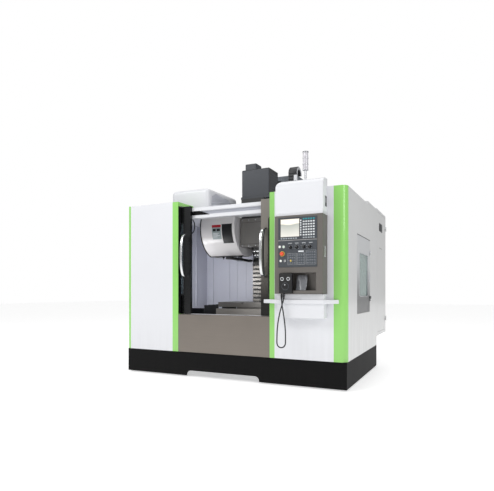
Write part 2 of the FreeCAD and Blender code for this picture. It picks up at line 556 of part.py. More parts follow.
def plinth():
    """Base skirt: four walls with a rounded cut-out at the floor in the front one."""
    outer = box("plinth_outer", ("- half_width", "half_width"), ("0", "side_depth"), ("plinth_gap", "plinth_top"))
    inner = box("plinth_inner", ("- half_width + plinth_wall", "half_width - plinth_wall"),
                ("plinth_wall", "side_depth - plinth_wall"), ("plinth_gap", "plinth_top"))
    foot = box("plinth_mouth", (f"{MID} - plinth_cut", f"{MID} + plinth_cut"), ("0", "plinth_wall"),
               ("plinth_gap", "plinth_cut_high"))
    top = round_edges("plinth_mouth_round", foot, size("plinth_cut_round") * 0.8,
                      lambda e: spot(e, z=size("plinth_cut_high")) and e.BoundBox.YLength > 1)
    rear = box("plinth_rear_gap", (f"{MID} - bed_half - skin", f"{MID} + bed_half + skin"),
               ("side_depth - plinth_wall", "side_depth"), ("plinth_gap", "plinth_top"))
    piece("plinth_skirt", cut("plinth", outer, [inner, top, rear]))


def posts():
    """Four upright posts: two corners and the two sides of the door opening, one with a top return."""
    high = ("plinth_top", "tower_top")
    back = forward()
    right_x, left_x = size("half_width"), -size("half_width")
    outer = box("corner_right_outer", ("half_width - corner_right", "half_width"), ("0", "corner_deep"), high)
    outer_round = round_edges("corner_right_round", outer, size("corner_round"),
                              lambda e: upright(e) and spot(e, x=right_x, y=-back))
    inner = box("corner_right_inner", ("half_width - corner_right", "half_width - skin"), ("skin", "corner_deep"),
                high)
    inner_round = round_edges("corner_right_inner_round", inner, size("corner_round") - size("skin"),
                              lambda e: upright(e) and spot(e, x=right_x - size("skin"), y=size("skin") - back))
    right = cut("corner_right_shell", outer_round, [inner_round])
    outer = box("corner_left_outer", ("- half_width", "- half_width + corner_left"), ("0", "post_deep"), high)
    outer_round = round_edges("corner_left_round", outer, size("corner_round_left"),
                              lambda e: upright(e) and spot(e, x=left_x, y=-back))
    inner = box("corner_left_inner", ("- half_width + skin", "- half_width + corner_left"), ("skin", "post_deep"),
                high)
    inner_round = round_edges("corner_left_inner_round", inner, size("corner_round_left") - size("skin"),
                              lambda e: upright(e) and spot(e, x=left_x + size("skin"), y=size("skin") - back))
    left = cut("corner_left_shell", outer_round, [inner_round])
    items = [right, left]
    spans = {"left": ("- open_left - post_left", "- open_left"), "right": ("open_right", "open_right + post_right")}
    for side, (low, top) in spans.items():
        items.append(box(f"post_{side}", (low, top), ("0", "post_deep"), high))
    items.append(box("post_return", spans["left"], ("post_deep", "return_deep"),
                     ("tower_top - return_high", "tower_top")))
    piece("corner_posts", join("posts", items))


def front_panels():
    """Two tower fronts between the posts, and the apron below the door opening."""
    high = ("plinth_top", "tower_top")
    left = box("front_left", ("- half_width + corner_left", "- open_left - post_left"), ("0", "skin"), high)
    right = box("front_right", ("open_right + post_right", "half_width - corner_right"), ("0", "skin"), high)
    piece("front_panels", join("fronts", [left, right]))
    plate = box("apron_plate", ("- open_left", "open_right"), ("0", "skin"), ("plinth_top", "apron_top"))
    shelf = box("apron_shelf", ("- open_left", "open_right"), ("0", "shelf_deep"), ("apron_top - skin", "apron_top"))
    piece("front_apron", join("apron", [plate, shelf]))


def side_panels():
    """Left, right and rear panels; the right one has the side door's opening and a raised cap."""
    left = box("side_left", ("- half_width", "- half_width + skin"), ("post_deep", "side_depth"),
               ("plinth_top", "tower_top"))
    right = box("side_right", ("half_width - skin", "half_width"), ("corner_deep", "side_depth"),
                ("plinth_top", "tower_top"))
    hole = box("side_hole", ("half_width - skin", "half_width"), ("side_front", "side_back"),
               ("side_low", "side_top"))
    frame = box("side_frame", ("half_width - leaf_wall", "half_width"),
                ("side_front - leaf_wall", "side_back + leaf_wall"), ("side_low - leaf_wall", "side_top + leaf_wall"))
    room = box("side_room", ("half_width - leaf_wall", "half_width"), ("side_front", "side_back"),
               ("side_low", "side_top"))
    cap = box("side_cap", ("half_width - cap_wide", "half_width"), ("cap_front", "side_depth"),
              ("tower_top", "tower_top + cap_high"))
    holed = cut("side_right_cut", right, [hole])
    framed = cut("side_frame_cut", frame, [room])
    rear = []
    for side, span in (("left", ("- half_width + skin", f"{MID} - column_half - skin")),
                       ("right", (f"{MID} + column_half + skin", "half_width - skin"))):
        rear.append(box(f"rear_{side}", span, ("side_depth - skin", "side_depth"), ("bed_top + skin", "tower_top")))
    lower = []
    for side, span in (("left", ("- half_width + skin", f"{MID} - bed_half - skin")),
                       ("right", (f"{MID} + bed_half + skin", "half_width - skin"))):
        lower.append(box(f"rear_low_{side}", span, ("side_depth - skin", "side_depth"),
                         ("plinth_top", "bed_top + skin")))
    hinges = knuckles("side_hinge", "side_back", "side_low", "side_top", fixed=True)
    piece("side_panels", join("sides", [left, holed, framed, cap] + rear + lower + hinges))


def knuckles(name, back, low, top, fixed):
    """Hinge parts at a door's back edge, two stations high.

    The fixed knuckle carries the pin; the moving one, above it, has the pin's bore.
    """
    items = []
    for station, foot in (("low", f"{low} + hinge_inset"), ("top", f"{top} - hinge_inset - 2 * knuckle")):
        where = ("half_width + hinge_out", f"{back} + leaf_gap")
        tag = f"{name}_{station}"
        if fixed:
            barrel = rod(f"{tag}_barrel", "z", *where, foot, "hinge_round", "knuckle")
            pin = rod(f"{tag}_pin", "z", *where, f"{foot} + knuckle", "pin_round", "knuckle")
            leaf = box(f"{tag}_leaf", ("half_width", "half_width + hinge_out"),
                       (f"{back} + leaf_gap", f"{back} + leaf_gap + 2 * hinge_round"), (foot, f"{foot} + knuckle"))
            items.append(join(f"{tag}_fixed", [barrel, pin, leaf]))
        else:
            above = f"{foot} + knuckle + run_gap"
            barrel = rod(f"{tag}_collar", "z", *where, above, "hinge_round", "knuckle - run_gap")
            leaf = box(f"{tag}_flap", ("half_width", "half_width + hinge_out"),
                       (f"{back} + leaf_gap - 3 * hinge_round", f"{back} + leaf_gap"), (above, f"{foot} + 2 * knuckle"))
            bore = rod(f"{tag}_bore", "z", *where, above, "pin_round + pin_fit", "knuckle - run_gap")
            items.append(cut(f"{tag}_moving", join(f"{tag}_moving_parts", [barrel, leaf]), [bore]))
    return items


def side_door():
    """Side door leaf with its window and moving knuckles, and the pane."""
    leaf = box("side_leaf", ("half_width - leaf_thick", "half_width"),
               ("side_front + leaf_gap", "side_back - leaf_gap"), ("side_low + leaf_gap", "side_top - leaf_gap"))
    hole = box("side_window_hole", ("half_width - leaf_thick", "half_width"), ("pane_front", "pane_back"),
               ("pane_low", "pane_top"))
    parts = knuckles("side_hinge", "side_back", "side_low", "side_top", fixed=False)
    piece("side_door", join("side_door_parts", [cut("side_leaf_cut", leaf, [hole])] + parts))
    middle = "half_width - leaf_thick / 2"
    piece("side_window", box("side_pane", (f"{middle} - glass_thick / 2", f"{middle} + glass_thick / 2"),
                             ("pane_front", "pane_back"), ("pane_low", "pane_top")))


def inner_walls():
    """Lining of the work area, and the chip pan round the base casting."""
    high = ("pan_level + skin", "roof_level")
    left, right = "- wall_left", "wall_right"
    front = ("wall_front", "wall_front + skin")
    items = [box("wall_left_side", (left, f"{left} + skin"), ("wall_front", "wall_back"), high),
             box("wall_right_side", (f"{right} - skin", right), ("wall_front", "wall_back"), high),
             box("wall_back_left", (left, f"{MID} - zcover_half - zcover_gap"), ("wall_back", "wall_back + skin"), high),
             box("wall_back_right", (f"{MID} + zcover_half + zcover_gap", right), ("wall_back", "wall_back + skin"),
                 high),
             box("wall_front_left", (left, "- open_left - post_left / 2"), front, (high[0], "beam_low")),
             box("wall_front_right", ("open_right + post_right / 2", right), front, (high[0], "beam_low")),
             box("wall_front_low", ("- open_left - post_left / 2", "open_right + post_right / 2"), front,
                 (high[0], "apron_top"))]
    bed_room = box("wall_bed_room", (f"{MID} - bed_half", f"{MID} + bed_half"), ("wall_back", "wall_back + skin"),
                   ("pan_level + skin", "bed_top"))
    piece("inner_walls", cut("walls", join("wall_sheets", items), [bed_room]))
    plate = box("pan_plate", (left, right), ("wall_front", "wall_back + skin"), ("pan_level", "pan_level + skin"))
    hole = box("pan_hole", (f"{MID} - bed_half", f"{MID} + bed_half"), ("bed_front", "wall_back + skin"),
               ("pan_level", "pan_level + skin"))
    piece("chip_pan", cut("pan", plate, [hole]))


def beam():
    """Beam above the opening with a groove along its front, and the door rails behind and below the doors."""
    front = "wall_front"
    span = ("- wall_left + skin", "wall_right - skin")
    solid = box("beam_block", span, (front, f"{front} + beam_deep"), ("beam_low", "beam_top"))
    groove = box("beam_groove", span, (front, f"{front} + groove_deep"), ("groove_low", "groove_top"))
    room = box("beam_room", span, (f"{front} + groove_deep + skin", f"{front} + beam_deep - skin"),
               ("beam_low + skin", "beam_top - skin"))
    rail = box("rail_high", span, ("door_front + door_deep + guide_gap", front), ("groove_top + rail_gap", "beam_top"))
    middle = "door_front + door_deep / 2"
    guide = box("rail_low", ("- open_left", "open_right"), (f"{middle} - guide_wide / 2", f"{middle} + guide_wide / 2"),
                ("apron_top", "door_low - guide_gap"))
    piece("door_header", join("beam", [cut("beam_cut", solid, [groove, room]), rail, guide]))


def roof():
    """Roof sheet with the head's slot, and the hood with its arched side opening."""
    plate = box("roof_plate", ("- half_width + skin", "half_width - skin"),
                ("wall_front + beam_deep", "side_depth - skin"), ("roof_level", "roof_level + skin"))
    slot = box("roof_slot", ("- slot_left", "slot_right"), ("slot_front", "column_front"),
               ("roof_level", "roof_level + skin"))
    wide = box("roof_slot_wide", (f"{MID} - carry_half - slot_gap", "slot_right"), ("carry_front - slot_gap", "column_front"),
               ("roof_level", "roof_level + skin"))
    around = box("roof_column", (f"{MID} - column_half - skin", f"{MID} + column_half + skin"),
                 ("column_front - skin", "side_depth - skin"), ("roof_level", "roof_level + skin"))
    piece("roof_panel", cut("roof_body", plate, [slot, wide, around]))
    low = "roof_level + skin"
    outer = box("hood_outer", ("- hood_left", "- hood_right"), ("hood_front", "hood_back"), (low, "hood_top"))
    inner = box("hood_inner", ("- hood_left + skin", "- hood_right - skin"), ("hood_front + skin", "hood_back - skin"),
                (low, "hood_top - skin"))
    floor = size("roof_level") + size("skin")
    bend = size("hood_round")
    shell = round_edges("hood_round_outer", outer, bend, lambda e: not spot(e, z=floor))
    core = round_edges("hood_round_inner", inner, bend - size("skin"), lambda e: not spot(e, z=floor))
    points = [("arch_front - " + FORWARD, "arch_low"), ("arch_back - " + FORWARD, "arch_low"),
              ("arch_back - arch_slope / 2 - " + FORWARD, "arch_top - arch_slope / 2"),
              ("arch_back - arch_slope - " + FORWARD, "arch_top - arch_slope / 6"),
              ("arch_front + arch_slope - " + FORWARD, "arch_top"),
              ("arch_front + arch_slope / 3 - " + FORWARD, "arch_top - arch_slope / 3")]
    arch = slab("hood_arch", "YZ_Plane", points, "- hood_right - 2 * skin", "- hood_right + skin")
    arch.setExpression(".Placement.Base.y", None)
    arch.Placement.Base.y = 0
    piece("roof_hood", cut("hood", shell, [core, arch]))


# ---------------------------------------------------------------- sliding doors

def sliding_door(side, low, high):
    """One sliding door: frame, pane and bow handle near its inner edge."""
    front, back = "door_front", "door_front + door_deep"
    slab_box = box(f"{side}_leaf", (low, high), (front, back), ("door_low", "door_top"))
    hole = box(f"{side}_hole", (f"{low} + door_rim", f"{high} - door_rim"), (front, back),
               ("window_low", "window_top"))
    piece(f"{side}_door", cut(f"{side}_frame", slab_box, [hole]))
    middle = "door_front + door_deep / 2"
    piece(f"{side}_window", box(f"{side}_pane", (f"{low} + door_rim", f"{high} - door_rim"),
                                (f"{middle} - glass_thick / 2", f"{middle} + glass_thick / 2"),
                                ("window_low", "window_top")))


def handle(side, low, high):
    """Bow handle: a C-shaped side outline with sloping shoulders."""
    face, out = f"(door_front - {FORWARD})", f"(door_front - handle_out - {FORWARD})"
    inner = f"({out} + handle_bar)"
    half, half_in = f"({out} + handle_slope * 0.3)", f"({inner} + handle_slope * 0.3)"
    points = [(face, "handle_low"), (face, "handle_low + handle_bar"),
              (half_in, "handle_low + handle_bar + handle_slope / 2"),
              (inner, "handle_low + handle_bar + handle_slope"), (inner, "handle_top - handle_bar - handle_slope"),
              (half_in, "handle_top - handle_bar - handle_slope / 2"),
              (face, "handle_top - handle_bar"), (face, "handle_top"),
              (half, "handle_top - handle_slope / 2"), (out, "handle_top - handle_slope"),
              (out, "handle_low + handle_slope"), (half, "handle_low + handle_slope / 2")]
    bow = slab(f"{side}_bow", "YZ_Plane", points, low, high)
    bow.setExpression(".Placement.Base.y", None)
    bow.Placement.Base.y = 0
    piece(f"{side}_handle", bow)


def doors():
    """Both sliding doors in the open position, with their handles."""
    left_edge, right_edge = f"({MID} - door_reach)", f"({MID} + door_reach)"
    sliding_door("left", f"{left_edge} - door_wide", left_edge)
    sliding_door("right", right_edge, f"{right_edge} + door_wide")
    handle("left", f"{left_edge} - handle_in_left - handle_wide", f"{left_edge} - handle_in_left")
    handle("right", f"{right_edge} + handle_in", f"{right_edge} + handle_in + handle_wide")


# ---------------------------------------------------------------- operator panel

def stem_holes(name, front, thick):
    """Holes for the emergency stop's stem and the start button's."""
    stems = (("stop", "stop_spot", "stop_level", "stop_stem"), ("start", "start_spot", "start_level", "start_stem"))
    return [rod(f"{name}_{stem}_hole", "y", across, front, level, f"{radius} + stem_fit", thick)
            for stem, across, level, radius in stems]


def panel():
    """Panel housing with its pocket, the two plates, the screen and the keys."""
    span, high = ("panel_left", "panel_right"), ("panel_low", "panel_top")
    outer = box("housing_outer", span, ("- panel_reach", "0"), high)
    inner = box("housing_inner", ("panel_left + panel_wall", "panel_right - panel_wall"),
                ("- panel_reach + panel_wall", "0"), ("panel_low + panel_wall", "panel_top - panel_wall"))
    tray = box("pocket_tray", ("pocket_left - panel_wall", "pocket_right + panel_wall"),
               ("- panel_reach", "- panel_reach + pocket_in + panel_wall"),
               ("pocket_low - panel_wall", "pocket_roof + panel_wall"))
    room = box("pocket_room", ("pocket_left", "pocket_right"), ("- panel_reach", "- panel_reach + pocket_in"),
               ("pocket_low", "pocket_roof"))
    holes = stem_holes("wall", "- panel_reach", "panel_wall")
    piece("panel_housing", cut("housing", join("housing_parts", [cut("housing_shell", outer, [inner]), tray]),
                               [room] + holes))
    face = ("- panel_reach - plate_thick", "- panel_reach")
    bezel = box("bezel", ("plate_left", "plate_right"), face, ("bezel_low", "bezel_top"))
    plate = box("switches", ("plate_left", "plate_right"), face, ("plate_low", "plate_top"))
    drilled = cut("switches_drilled", plate, stem_holes("plate", "- panel_reach - plate_thick", "plate_thick"))
    piece("panel_plates", join("plates", [bezel, drilled]))
    front = "- panel_reach - plate_thick"
    piece("display_glass", box("screen", ("screen_left", "screen_right"), (f"{front} - screen_thick", front),
                               ("screen_low", "screen_top")))
    keys = []
    for column_number in range(5):
        for row in range(8):
            across = f"keys_left + {column_number} * key_pitch"
            level = f"keys_low + {row} * key_row"
            keys.append(box(f"key_{column_number}_{row}", (across, f"{across} + key_wide"),
                            (f"{front} - key_thick", front), (level, f"{level} + key_high")))
    for number in range(7):
        across = f"screen_left + {number} * key_pitch"
        keys.append(box(f"soft_{number}", (across, f"{across} + key_wide"), (f"{front} - key_thick", front),
                        ("bezel_low + key_thick", "bezel_low + key_thick + key_high")))
    piece("panel_keys", join("keys", keys))


def panel_boxes():
    """Canopy above the panel, box and ledge below it."""
    shift = f" - {FORWARD}"
    reach, bend = "panel_reach", "(canopy_top - canopy_bend)"
    outer = [(f"- {reach}{shift}", "panel_top"), (f"0{shift}", "panel_top"), (f"0{shift}", "canopy_top"),
             (f"- {reach} + canopy_back{shift}", "canopy_top"),
             (f"- {reach} + canopy_back / 3{shift}", f"canopy_top - {bend} / 5"),
             (f"- {reach} + canopy_back / 10{shift}", f"canopy_top - {bend} / 2"),
             (f"- {reach}{shift}", "canopy_bend")]
    shell = slab("canopy_shell", "YZ_Plane", outer, "canopy_left", "panel_right")
    shell.setExpression(".Placement.Base.y", None)
    shell.Placement.Base.y = 0
    room = box("canopy_room", ("canopy_left + skin", "panel_right - skin"), ("- panel_reach + skin", "0"),
               ("panel_top + skin", "canopy_bend"))
    piece("panel_canopy", cut("canopy", shell, [room]))
    lower_box = box("lower_box", ("lower_left", "lower_right"), ("- lower_reach", "0"), ("lower_low", "lower_top"))
    room = box("lower_room", ("lower_left + skin", "lower_right - skin"), ("- lower_reach + skin", "0"),
               ("lower_low + skin", "lower_top - skin"))
    points = [("ledge_left", f"0{shift}"), ("lower_left", f"- ledge_reach{shift}"),
              ("lower_right", f"- ledge_reach{shift}"), ("ledge_right", f"0{shift}")]
    ledge = slab("ledge", "XY_Plane", points, "ledge_low", "ledge_top")
    ledge.setExpression(".Placement.Base.y", None)
    ledge.Placement.Base.y = 0
    piece("panel_box", join("lower_parts", [cut("lower_shell", lower_box, [room]), ledge]))


def controls():
    """Emergency stop, start button and three knobs, each turned and standing on the plate."""
    front = "- panel_reach - plate_thick"
    inside = "- plate_thick - panel_wall"
    mushroom = [("0", inside), ("stop_stem", inside), ("stop_stem", "run_gap + stop_travel"),
                ("stop_round", "run_gap + stop_travel"), ("stop_round", "stop_out * 0.8"), ("stop_stem", "stop_out"),
                ("0", "stop_out")]
    piece("estop_button", turned_front("stop", mushroom, "stop_spot", front, "stop_level"))
    button = [("0", inside), ("start_stem", inside), ("start_stem", "run_gap + start_travel"),
              ("start_round", "run_gap + start_travel"), ("start_round", "start_out"), ("0", "start_out")]
    piece("cycle_button", turned_front("start", button, "start_spot", front, "start_level"))
    for name, across in (("mode_knob", "mode_spot"), ("feed_knob", "feed_spot"), ("spindle_knob", "speed_spot")):
        dial = [("0", "run_gap"), ("knob_round", "run_gap"), ("knob_round * 0.9", "knob_out"), ("0", "knob_out")]
        piece(name, turned_front(name + "_dial", dial, across, front, "knob_level"))


def pendant():
    """Hand wheel pendant on the panel's lip, its wheel, the cord's two glands and the cord."""
    face = "- panel_reach - hand_thick"
    piece("mpg_housing", box("hand_case", ("hand_left", "hand_right"), (face, "- panel_reach"),
                             ("hand_low", "hand_top")))
    rim = [("0", "run_gap"), ("wheel_round", "run_gap"), ("wheel_round", "wheel_out"), ("0", "wheel_out")]
    piece("mpg_wheel", turned_front("hand_rim", rim, "(hand_left + hand_right) / 2", face, "wheel_level"))
    glands = [rod("hand_gland", "z", "hand_exit", "- panel_reach - hand_thick / 2", "hand_low - gland_long",
                  "gland_round", "gland_long"),
              rod("panel_gland", "z", "gland_spot", "- panel_reach + gland_in", "panel_low - gland_long",
                  "gland_round", "gland_long")]
    piece("cable_glands", join("glands", glands))


def soft_path(points):
    """A wire of straight runs joined by tangent arcs, each as large as its two runs allow."""
    edges, start = [], points[0]
    for before, here, after in zip(points, points[1:], points[2:]):
        first, second = (here - before), (after - here)
        turn = first.getAngle(second)
        trim = 0.45 * min(first.Length, second.Length)
        radius = trim / math.tan(turn / 2)
        print(f"cord bend radius {radius:.0f}")
        first.normalize()
        second.normalize()
        enter, leave = here - first * trim, here + second * trim
        centre_way = (second - first).normalize()
        centre = enter + (centre_way - first * centre_way.dot(first)).normalize() * radius
        middle = centre + (here - centre).normalize() * radius
        edges += [Part.LineSegment(start, enter).toShape(), Part.Arc(enter, middle, leave).toShape()]
        start = leave
    edges.append(Part.LineSegment(start, points[-1]).toShape())
    return Part.Wire(edges)


def cord():
    """The pendant's cord, a loop that hangs from the pendant's gland back up to the housing's."""
    first = V(size("hand_exit"), -size("panel_reach") - size("hand_thick") / 2, size("hand_low") - size("gland_long"))
    last = V(size("gland_spot"), -size("panel_reach") + size("gland_in"), size("panel_low") - size("gland_long"))
    route = [first] + [V(*point) for point in CORD_ROUTE] + [last]
    back = V(0, -forward(), 0)
    wire = soft_path([point + back for point in route])
    ring = Part.Wire(Part.Circle(route[0] + back, V(0, 0, 1), size("cord_round")).toShape())
    tube = wire.makePipeShell([ring], True, False)
    shape = Part.makeSolid(tube) if tube.ShapeType != "Solid" else tube
    item = doc.addObject("Part::Feature", "cord_tube")
    item.Shape = shape
    item.Placement = FreeCAD.Placement()
    print(f"cord length {wire.Length:.1f}")
    area = math.pi * size("cord_round") ** 2
    print(f"cord volume ratio {shape.Volume / (area * wire.Length):.4f}")
    piece("mpg_cord", item)


# The points of the cord's route between its two glands: across, behind the front plane, up.
CORD_ROUTE = [
    (733, -170, 858), (718, -174, 806), (697, -177, 736), (680, -178, 650), (669.5, -177, 560),
    (666.5, -175, 482), (666.5, -173, 425), (690.5, -170, 401), (724.5, -166, 401), (748.5, -162, 425),
    (748.5, -158, 482), (746, -154, 560), (736, -151, 650), (722, -149, 736), (708, -146, 806), (701, -141, 858),
]


# ---------------------------------------------------------------- signal tower and cabinet

def signals():
    """Signal tower: foot, pole and cap, with the lens stack as its own piece."""
    where = ("signal_spot", "signal_deep")
    low = "roof_level + skin"
    foot = rod("signal_foot", "z", *where, low, "foot_round", "foot_thick")
    pole = rod("signal_pole", "z", *where, low, "pole_round", f"lens_low - ({low})")
    cap = rod("signal_cap", "z", *where, "lens_low + lens_count * lens_high", "lens_round", "lens_cap")
    piece("signal_tower", join("signal", [foot, pole, cap]))
    lenses = rod("lens_stack", "z", *where, "lens_low", "lens_round - screen_thick", "lens_count * lens_high")
    piece("signal_lenses", lenses)


def cabinet():
    """Electrical cabinet with its opening, drive modules inside, and its door."""
    span, deep, high = ("cabinet_left", "half_width"), ("side_depth", "side_depth + cabinet_deep"), \
        ("cabinet_low", "cabinet_top")
    outer = box("cabinet_outer", span, deep, high)
    inner = box("cabinet_inner", ("cabinet_left + skin", "half_width - leaf_wall"),
                ("side_depth + skin", "side_depth + cabinet_deep - skin"),
                ("cabinet_low + skin", "cabinet_top - skin"))
    mouth = box("cabinet_mouth", ("half_width - leaf_wall", "half_width"), ("leaf_front", "leaf_back"),
                ("leaf_low", "leaf_top"))
    items = [cut("cabinet_shell", outer, [inner, mouth])]
    for number in range(3):
        low = f"cabinet_low + skin + hinge_inset + {number} * 4 * hinge_inset"
        items.append(box(f"drive_{number}", ("cabinet_left + skin", "cabinet_left + skin + 2 * hinge_inset"),
                         ("leaf_front", "leaf_back - hinge_inset"), (low, f"{low} + 3 * hinge_inset")))
    items += knuckles("cabinet_hinge", "leaf_back", "leaf_low", "leaf_top", fixed=True)
    piece("electrical_cabinet", join("cabinet", items))
    leaf = box("cabinet_leaf", ("half_width - leaf_thick", "half_width"),
               ("leaf_front + leaf_gap", "leaf_back - leaf_gap"), ("leaf_low + leaf_gap", "leaf_top - leaf_gap"))
    moving = knuckles("cabinet_hinge", "leaf_back", "leaf_low", "leaf_top", fixed=False)
    piece("cabinet_door", join("cabinet_door_parts", [leaf] + moving))


def write_pieces():
    """Check every object, then write each piece under its label."""
    doc.recompute()
    for item in doc.Objects:
        if "Invalid" in item.State or "Error" in item.State:
            raise RuntimeError(f"{item.Name} did not compute: {item.State}")
    for node, item in PIECES.items():
        shape = item.Shape
        if shape.isNull() or not shape.isValid() or not shape.Solids:
            raise RuntimeError(f"{node} has no sound solid")
    os.makedirs("parts", exist_ok=True)
    for node, item in PIECES.items():
        item.Shape.exportStep(f"parts/{node}.step")
    print(f"{len(PIECES)} pieces written")


for build in (bed, pads, column, fixed_motors, saddle, saddle_guard, table, table_covers, head, spindle, head_covers,
              column_covers, magazine, change_arm, plinth, posts, front_panels, side_panels, side_door, inner_walls,
              beam, roof, doors, panel, panel_boxes, controls, pendant, cord, signals, cabinet):
    build()
write_pieces()
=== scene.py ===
import math

import bmesh
import bpy
import numpy as np
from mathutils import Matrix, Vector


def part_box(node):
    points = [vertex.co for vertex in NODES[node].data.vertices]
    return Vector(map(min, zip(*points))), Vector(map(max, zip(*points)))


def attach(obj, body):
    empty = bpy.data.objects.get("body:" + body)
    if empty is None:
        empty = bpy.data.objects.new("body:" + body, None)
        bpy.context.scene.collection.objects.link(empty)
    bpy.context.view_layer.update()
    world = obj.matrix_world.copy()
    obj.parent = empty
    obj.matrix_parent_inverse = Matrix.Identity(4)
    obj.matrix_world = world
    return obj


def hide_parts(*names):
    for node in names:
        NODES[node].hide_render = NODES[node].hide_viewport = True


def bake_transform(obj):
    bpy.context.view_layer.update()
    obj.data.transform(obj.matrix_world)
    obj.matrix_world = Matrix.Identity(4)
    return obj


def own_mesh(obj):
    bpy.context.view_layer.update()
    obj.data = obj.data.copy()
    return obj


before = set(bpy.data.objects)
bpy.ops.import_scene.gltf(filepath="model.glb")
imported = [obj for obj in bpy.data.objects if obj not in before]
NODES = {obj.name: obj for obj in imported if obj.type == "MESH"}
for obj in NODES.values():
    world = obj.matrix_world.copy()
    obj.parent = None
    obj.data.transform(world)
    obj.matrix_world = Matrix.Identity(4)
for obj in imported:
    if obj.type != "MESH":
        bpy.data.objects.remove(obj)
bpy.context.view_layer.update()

# Looks of the vertical machining centre. Lengths are metres: X runs to the right, Y to the back, Z up.
SCENE = bpy.context.scene
ORIGIN = (0, 0, 0)
SIDE_FACE = 1.300


# ---------------------------------------------------------------- surfaces

def strip(grid, wrap_u=False, wrap_v=False):
    """Quads between neighbours of a grid of points (rows, columns, 3).

    A wrapped side joins its last row to its first.
    """
    rows, columns = grid.shape[:2]
    index = np.arange(rows * columns).reshape(rows, columns)
    if wrap_u:
        index = np.vstack([index, index[:1]])
    if wrap_v:
        index = np.hstack([index, index[:, :1]])
    quads = np.stack([index[:-1, :-1], index[1:, :-1], index[1:, 1:], index[:-1, 1:]], -1).reshape(-1, 4)
    return grid.reshape(-1, 3), quads.tolist()


def corners(node):
    """The low and the high corner of a CAD node's box."""
    low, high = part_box(node)
    return np.array(low), np.array(high)


def at(x, y, z):
    """Rows of (x, y, z); a single number stands in every row."""
    return np.column_stack(np.broadcast_arrays(x, y, z))


def circle(radius, count):
    """A circle's outline: radius * (cos, sin) of evenly spaced angles."""
    angle = np.linspace(0, 2 * math.pi, count, endpoint=False)
    return np.column_stack([np.cos(angle), np.sin(angle)]) * radius


def loft(loops):
    """A closed shape through a stack of loops (n, m, 3), with the first and last loop filled."""
    n, m = loops.shape[:2]
    points, faces = strip(loops, wrap_v=True)
    return points, faces + [list(range(m)), list(range((n - 1) * m, n * m))]


def prism(outline, axis, levels):
    """An outline (m, 2) lofted straight along an axis from the first level to the last."""
    along = "xyz".index(axis)
    return loft(np.stack([np.insert(outline, along, level, axis=1) for level in levels]))


def carried(outline, path, up, ring=False):
    """A closed outline (m, 2) carried along a path: point = path + across * side + rise * top.

    Side is the path's direction crossed with up, and top is side crossed with the direction.
    """
    if ring:
        ahead = np.roll(path, -1, 0) - np.roll(path, 1, 0)
    else:
        ahead = np.gradient(path, axis=0)
    ahead = ahead / np.linalg.norm(ahead, axis=1, keepdims=True)
    side = np.cross(ahead, np.broadcast_to(up, ahead.shape))
    side = side / np.linalg.norm(side, axis=1, keepdims=True)
    top = np.cross(side, ahead)
    grid = path[:, None] + outline[None, :, :1] * side[:, None] + outline[None, :, 1:] * top[:, None]
    return strip(grid, wrap_u=True, wrap_v=True) if ring else loft(grid)


AXES = {"x": ((1, 0, 0), (0, 1, 0), (0, 0, 1)), "y": ((0, 1, 0), (0, 0, 1), (1, 0, 0)),
        "z": ((0, 0, 1), (1, 0, 0), (0, 1, 0)), "-y": ((0, -1, 0), (1, 0, 0), (0, 0, 1)),
        "-x": ((-1, 0, 0), (0, 0, 1), (0, 1, 0)), "-z": ((0, 0, -1), (0, 1, 0), (1, 0, 0))}


def turned(outline, centre, axis, count=32, flutes=0, deep=0.0):
    """An outline of (radius, height) turned about an axis, with radius * (1 + deep * cos(flutes * angle))."""
    along, first, second = (np.array(a, float) for a in AXES[axis])
    outline = np.array(outline, float)
    angle = np.linspace(0, 2 * math.pi, count, endpoint=False)
    radius = outline[:, :1] * (1 + deep * np.cos(flutes * angle))[None]
    grid = (np.array(centre, float) + outline[:, 1, None, None] * along
            + radius[..., None] * (np.cos(angle)[:, None] * first + np.sin(angle)[:, None] * second))
    return loft(grid)


def blocks(lows, highs):
    """Boxes between pairs of corners: each corner is low + bit * (high - low) for the eight bit triples."""
    lows, highs = np.atleast_2d(np.array(lows, float)), np.atleast_2d(np.array(highs, float))
    bits = np.array([[0, 0, 0], [1, 0, 0], [1, 1, 0], [0, 1, 0],
                     [0, 0, 1], [1, 0, 1], [1, 1, 1], [0, 1, 1]], float)
    points = (lows[:, None] + bits[None] * (highs - lows)[:, None]).reshape(-1, 3)
    sides = np.array([[0, 3, 2, 1], [4, 5, 6, 7], [0, 1, 5, 4], [1, 2, 6, 5], [2, 3, 7, 6], [3, 0, 4, 7]])
    faces = (np.arange(len(lows))[:, None, None] * 8 + sides[None]).reshape(-1, 4)
    return points, faces.tolist()


def together(*shapes):
    """Several shapes as one list of points and one of faces."""
    points, faces, start = [], [], 0
    for some, those in shapes:
        points.append(np.asarray(some, float))
        faces += [[k + start for k in face] for face in those]
        start += len(some)
    return np.vstack(points), faces


def copies(shape, spots):
    """A shape set down at each of several spots."""
    return together(*[(shape[0] + np.array(spot, float), shape[1]) for spot in spots])


def rounded(wide, high, radius, steps=4):
    """A rectangle's outline about the origin whose corners are quarter circles."""
    angle = np.linspace(0, math.pi / 2, steps + 1)
    corner = np.stack([np.cos(angle), np.sin(angle)], 1) * radius
    shift = np.array([wide / 2 - radius, high / 2 - radius])
    turns = [np.array([[1, 0], [0, 1]]), np.array([[0, -1], [1, 0]]), np.array([[-1, 0], [0, -1]]),
             np.array([[0, 1], [-1, 0]])]
    signs = [(1, 1), (-1, 1), (-1, -1), (1, -1)]
    return np.vstack([corner @ turn.T + shift * sign for turn, sign in zip(turns, signs)])


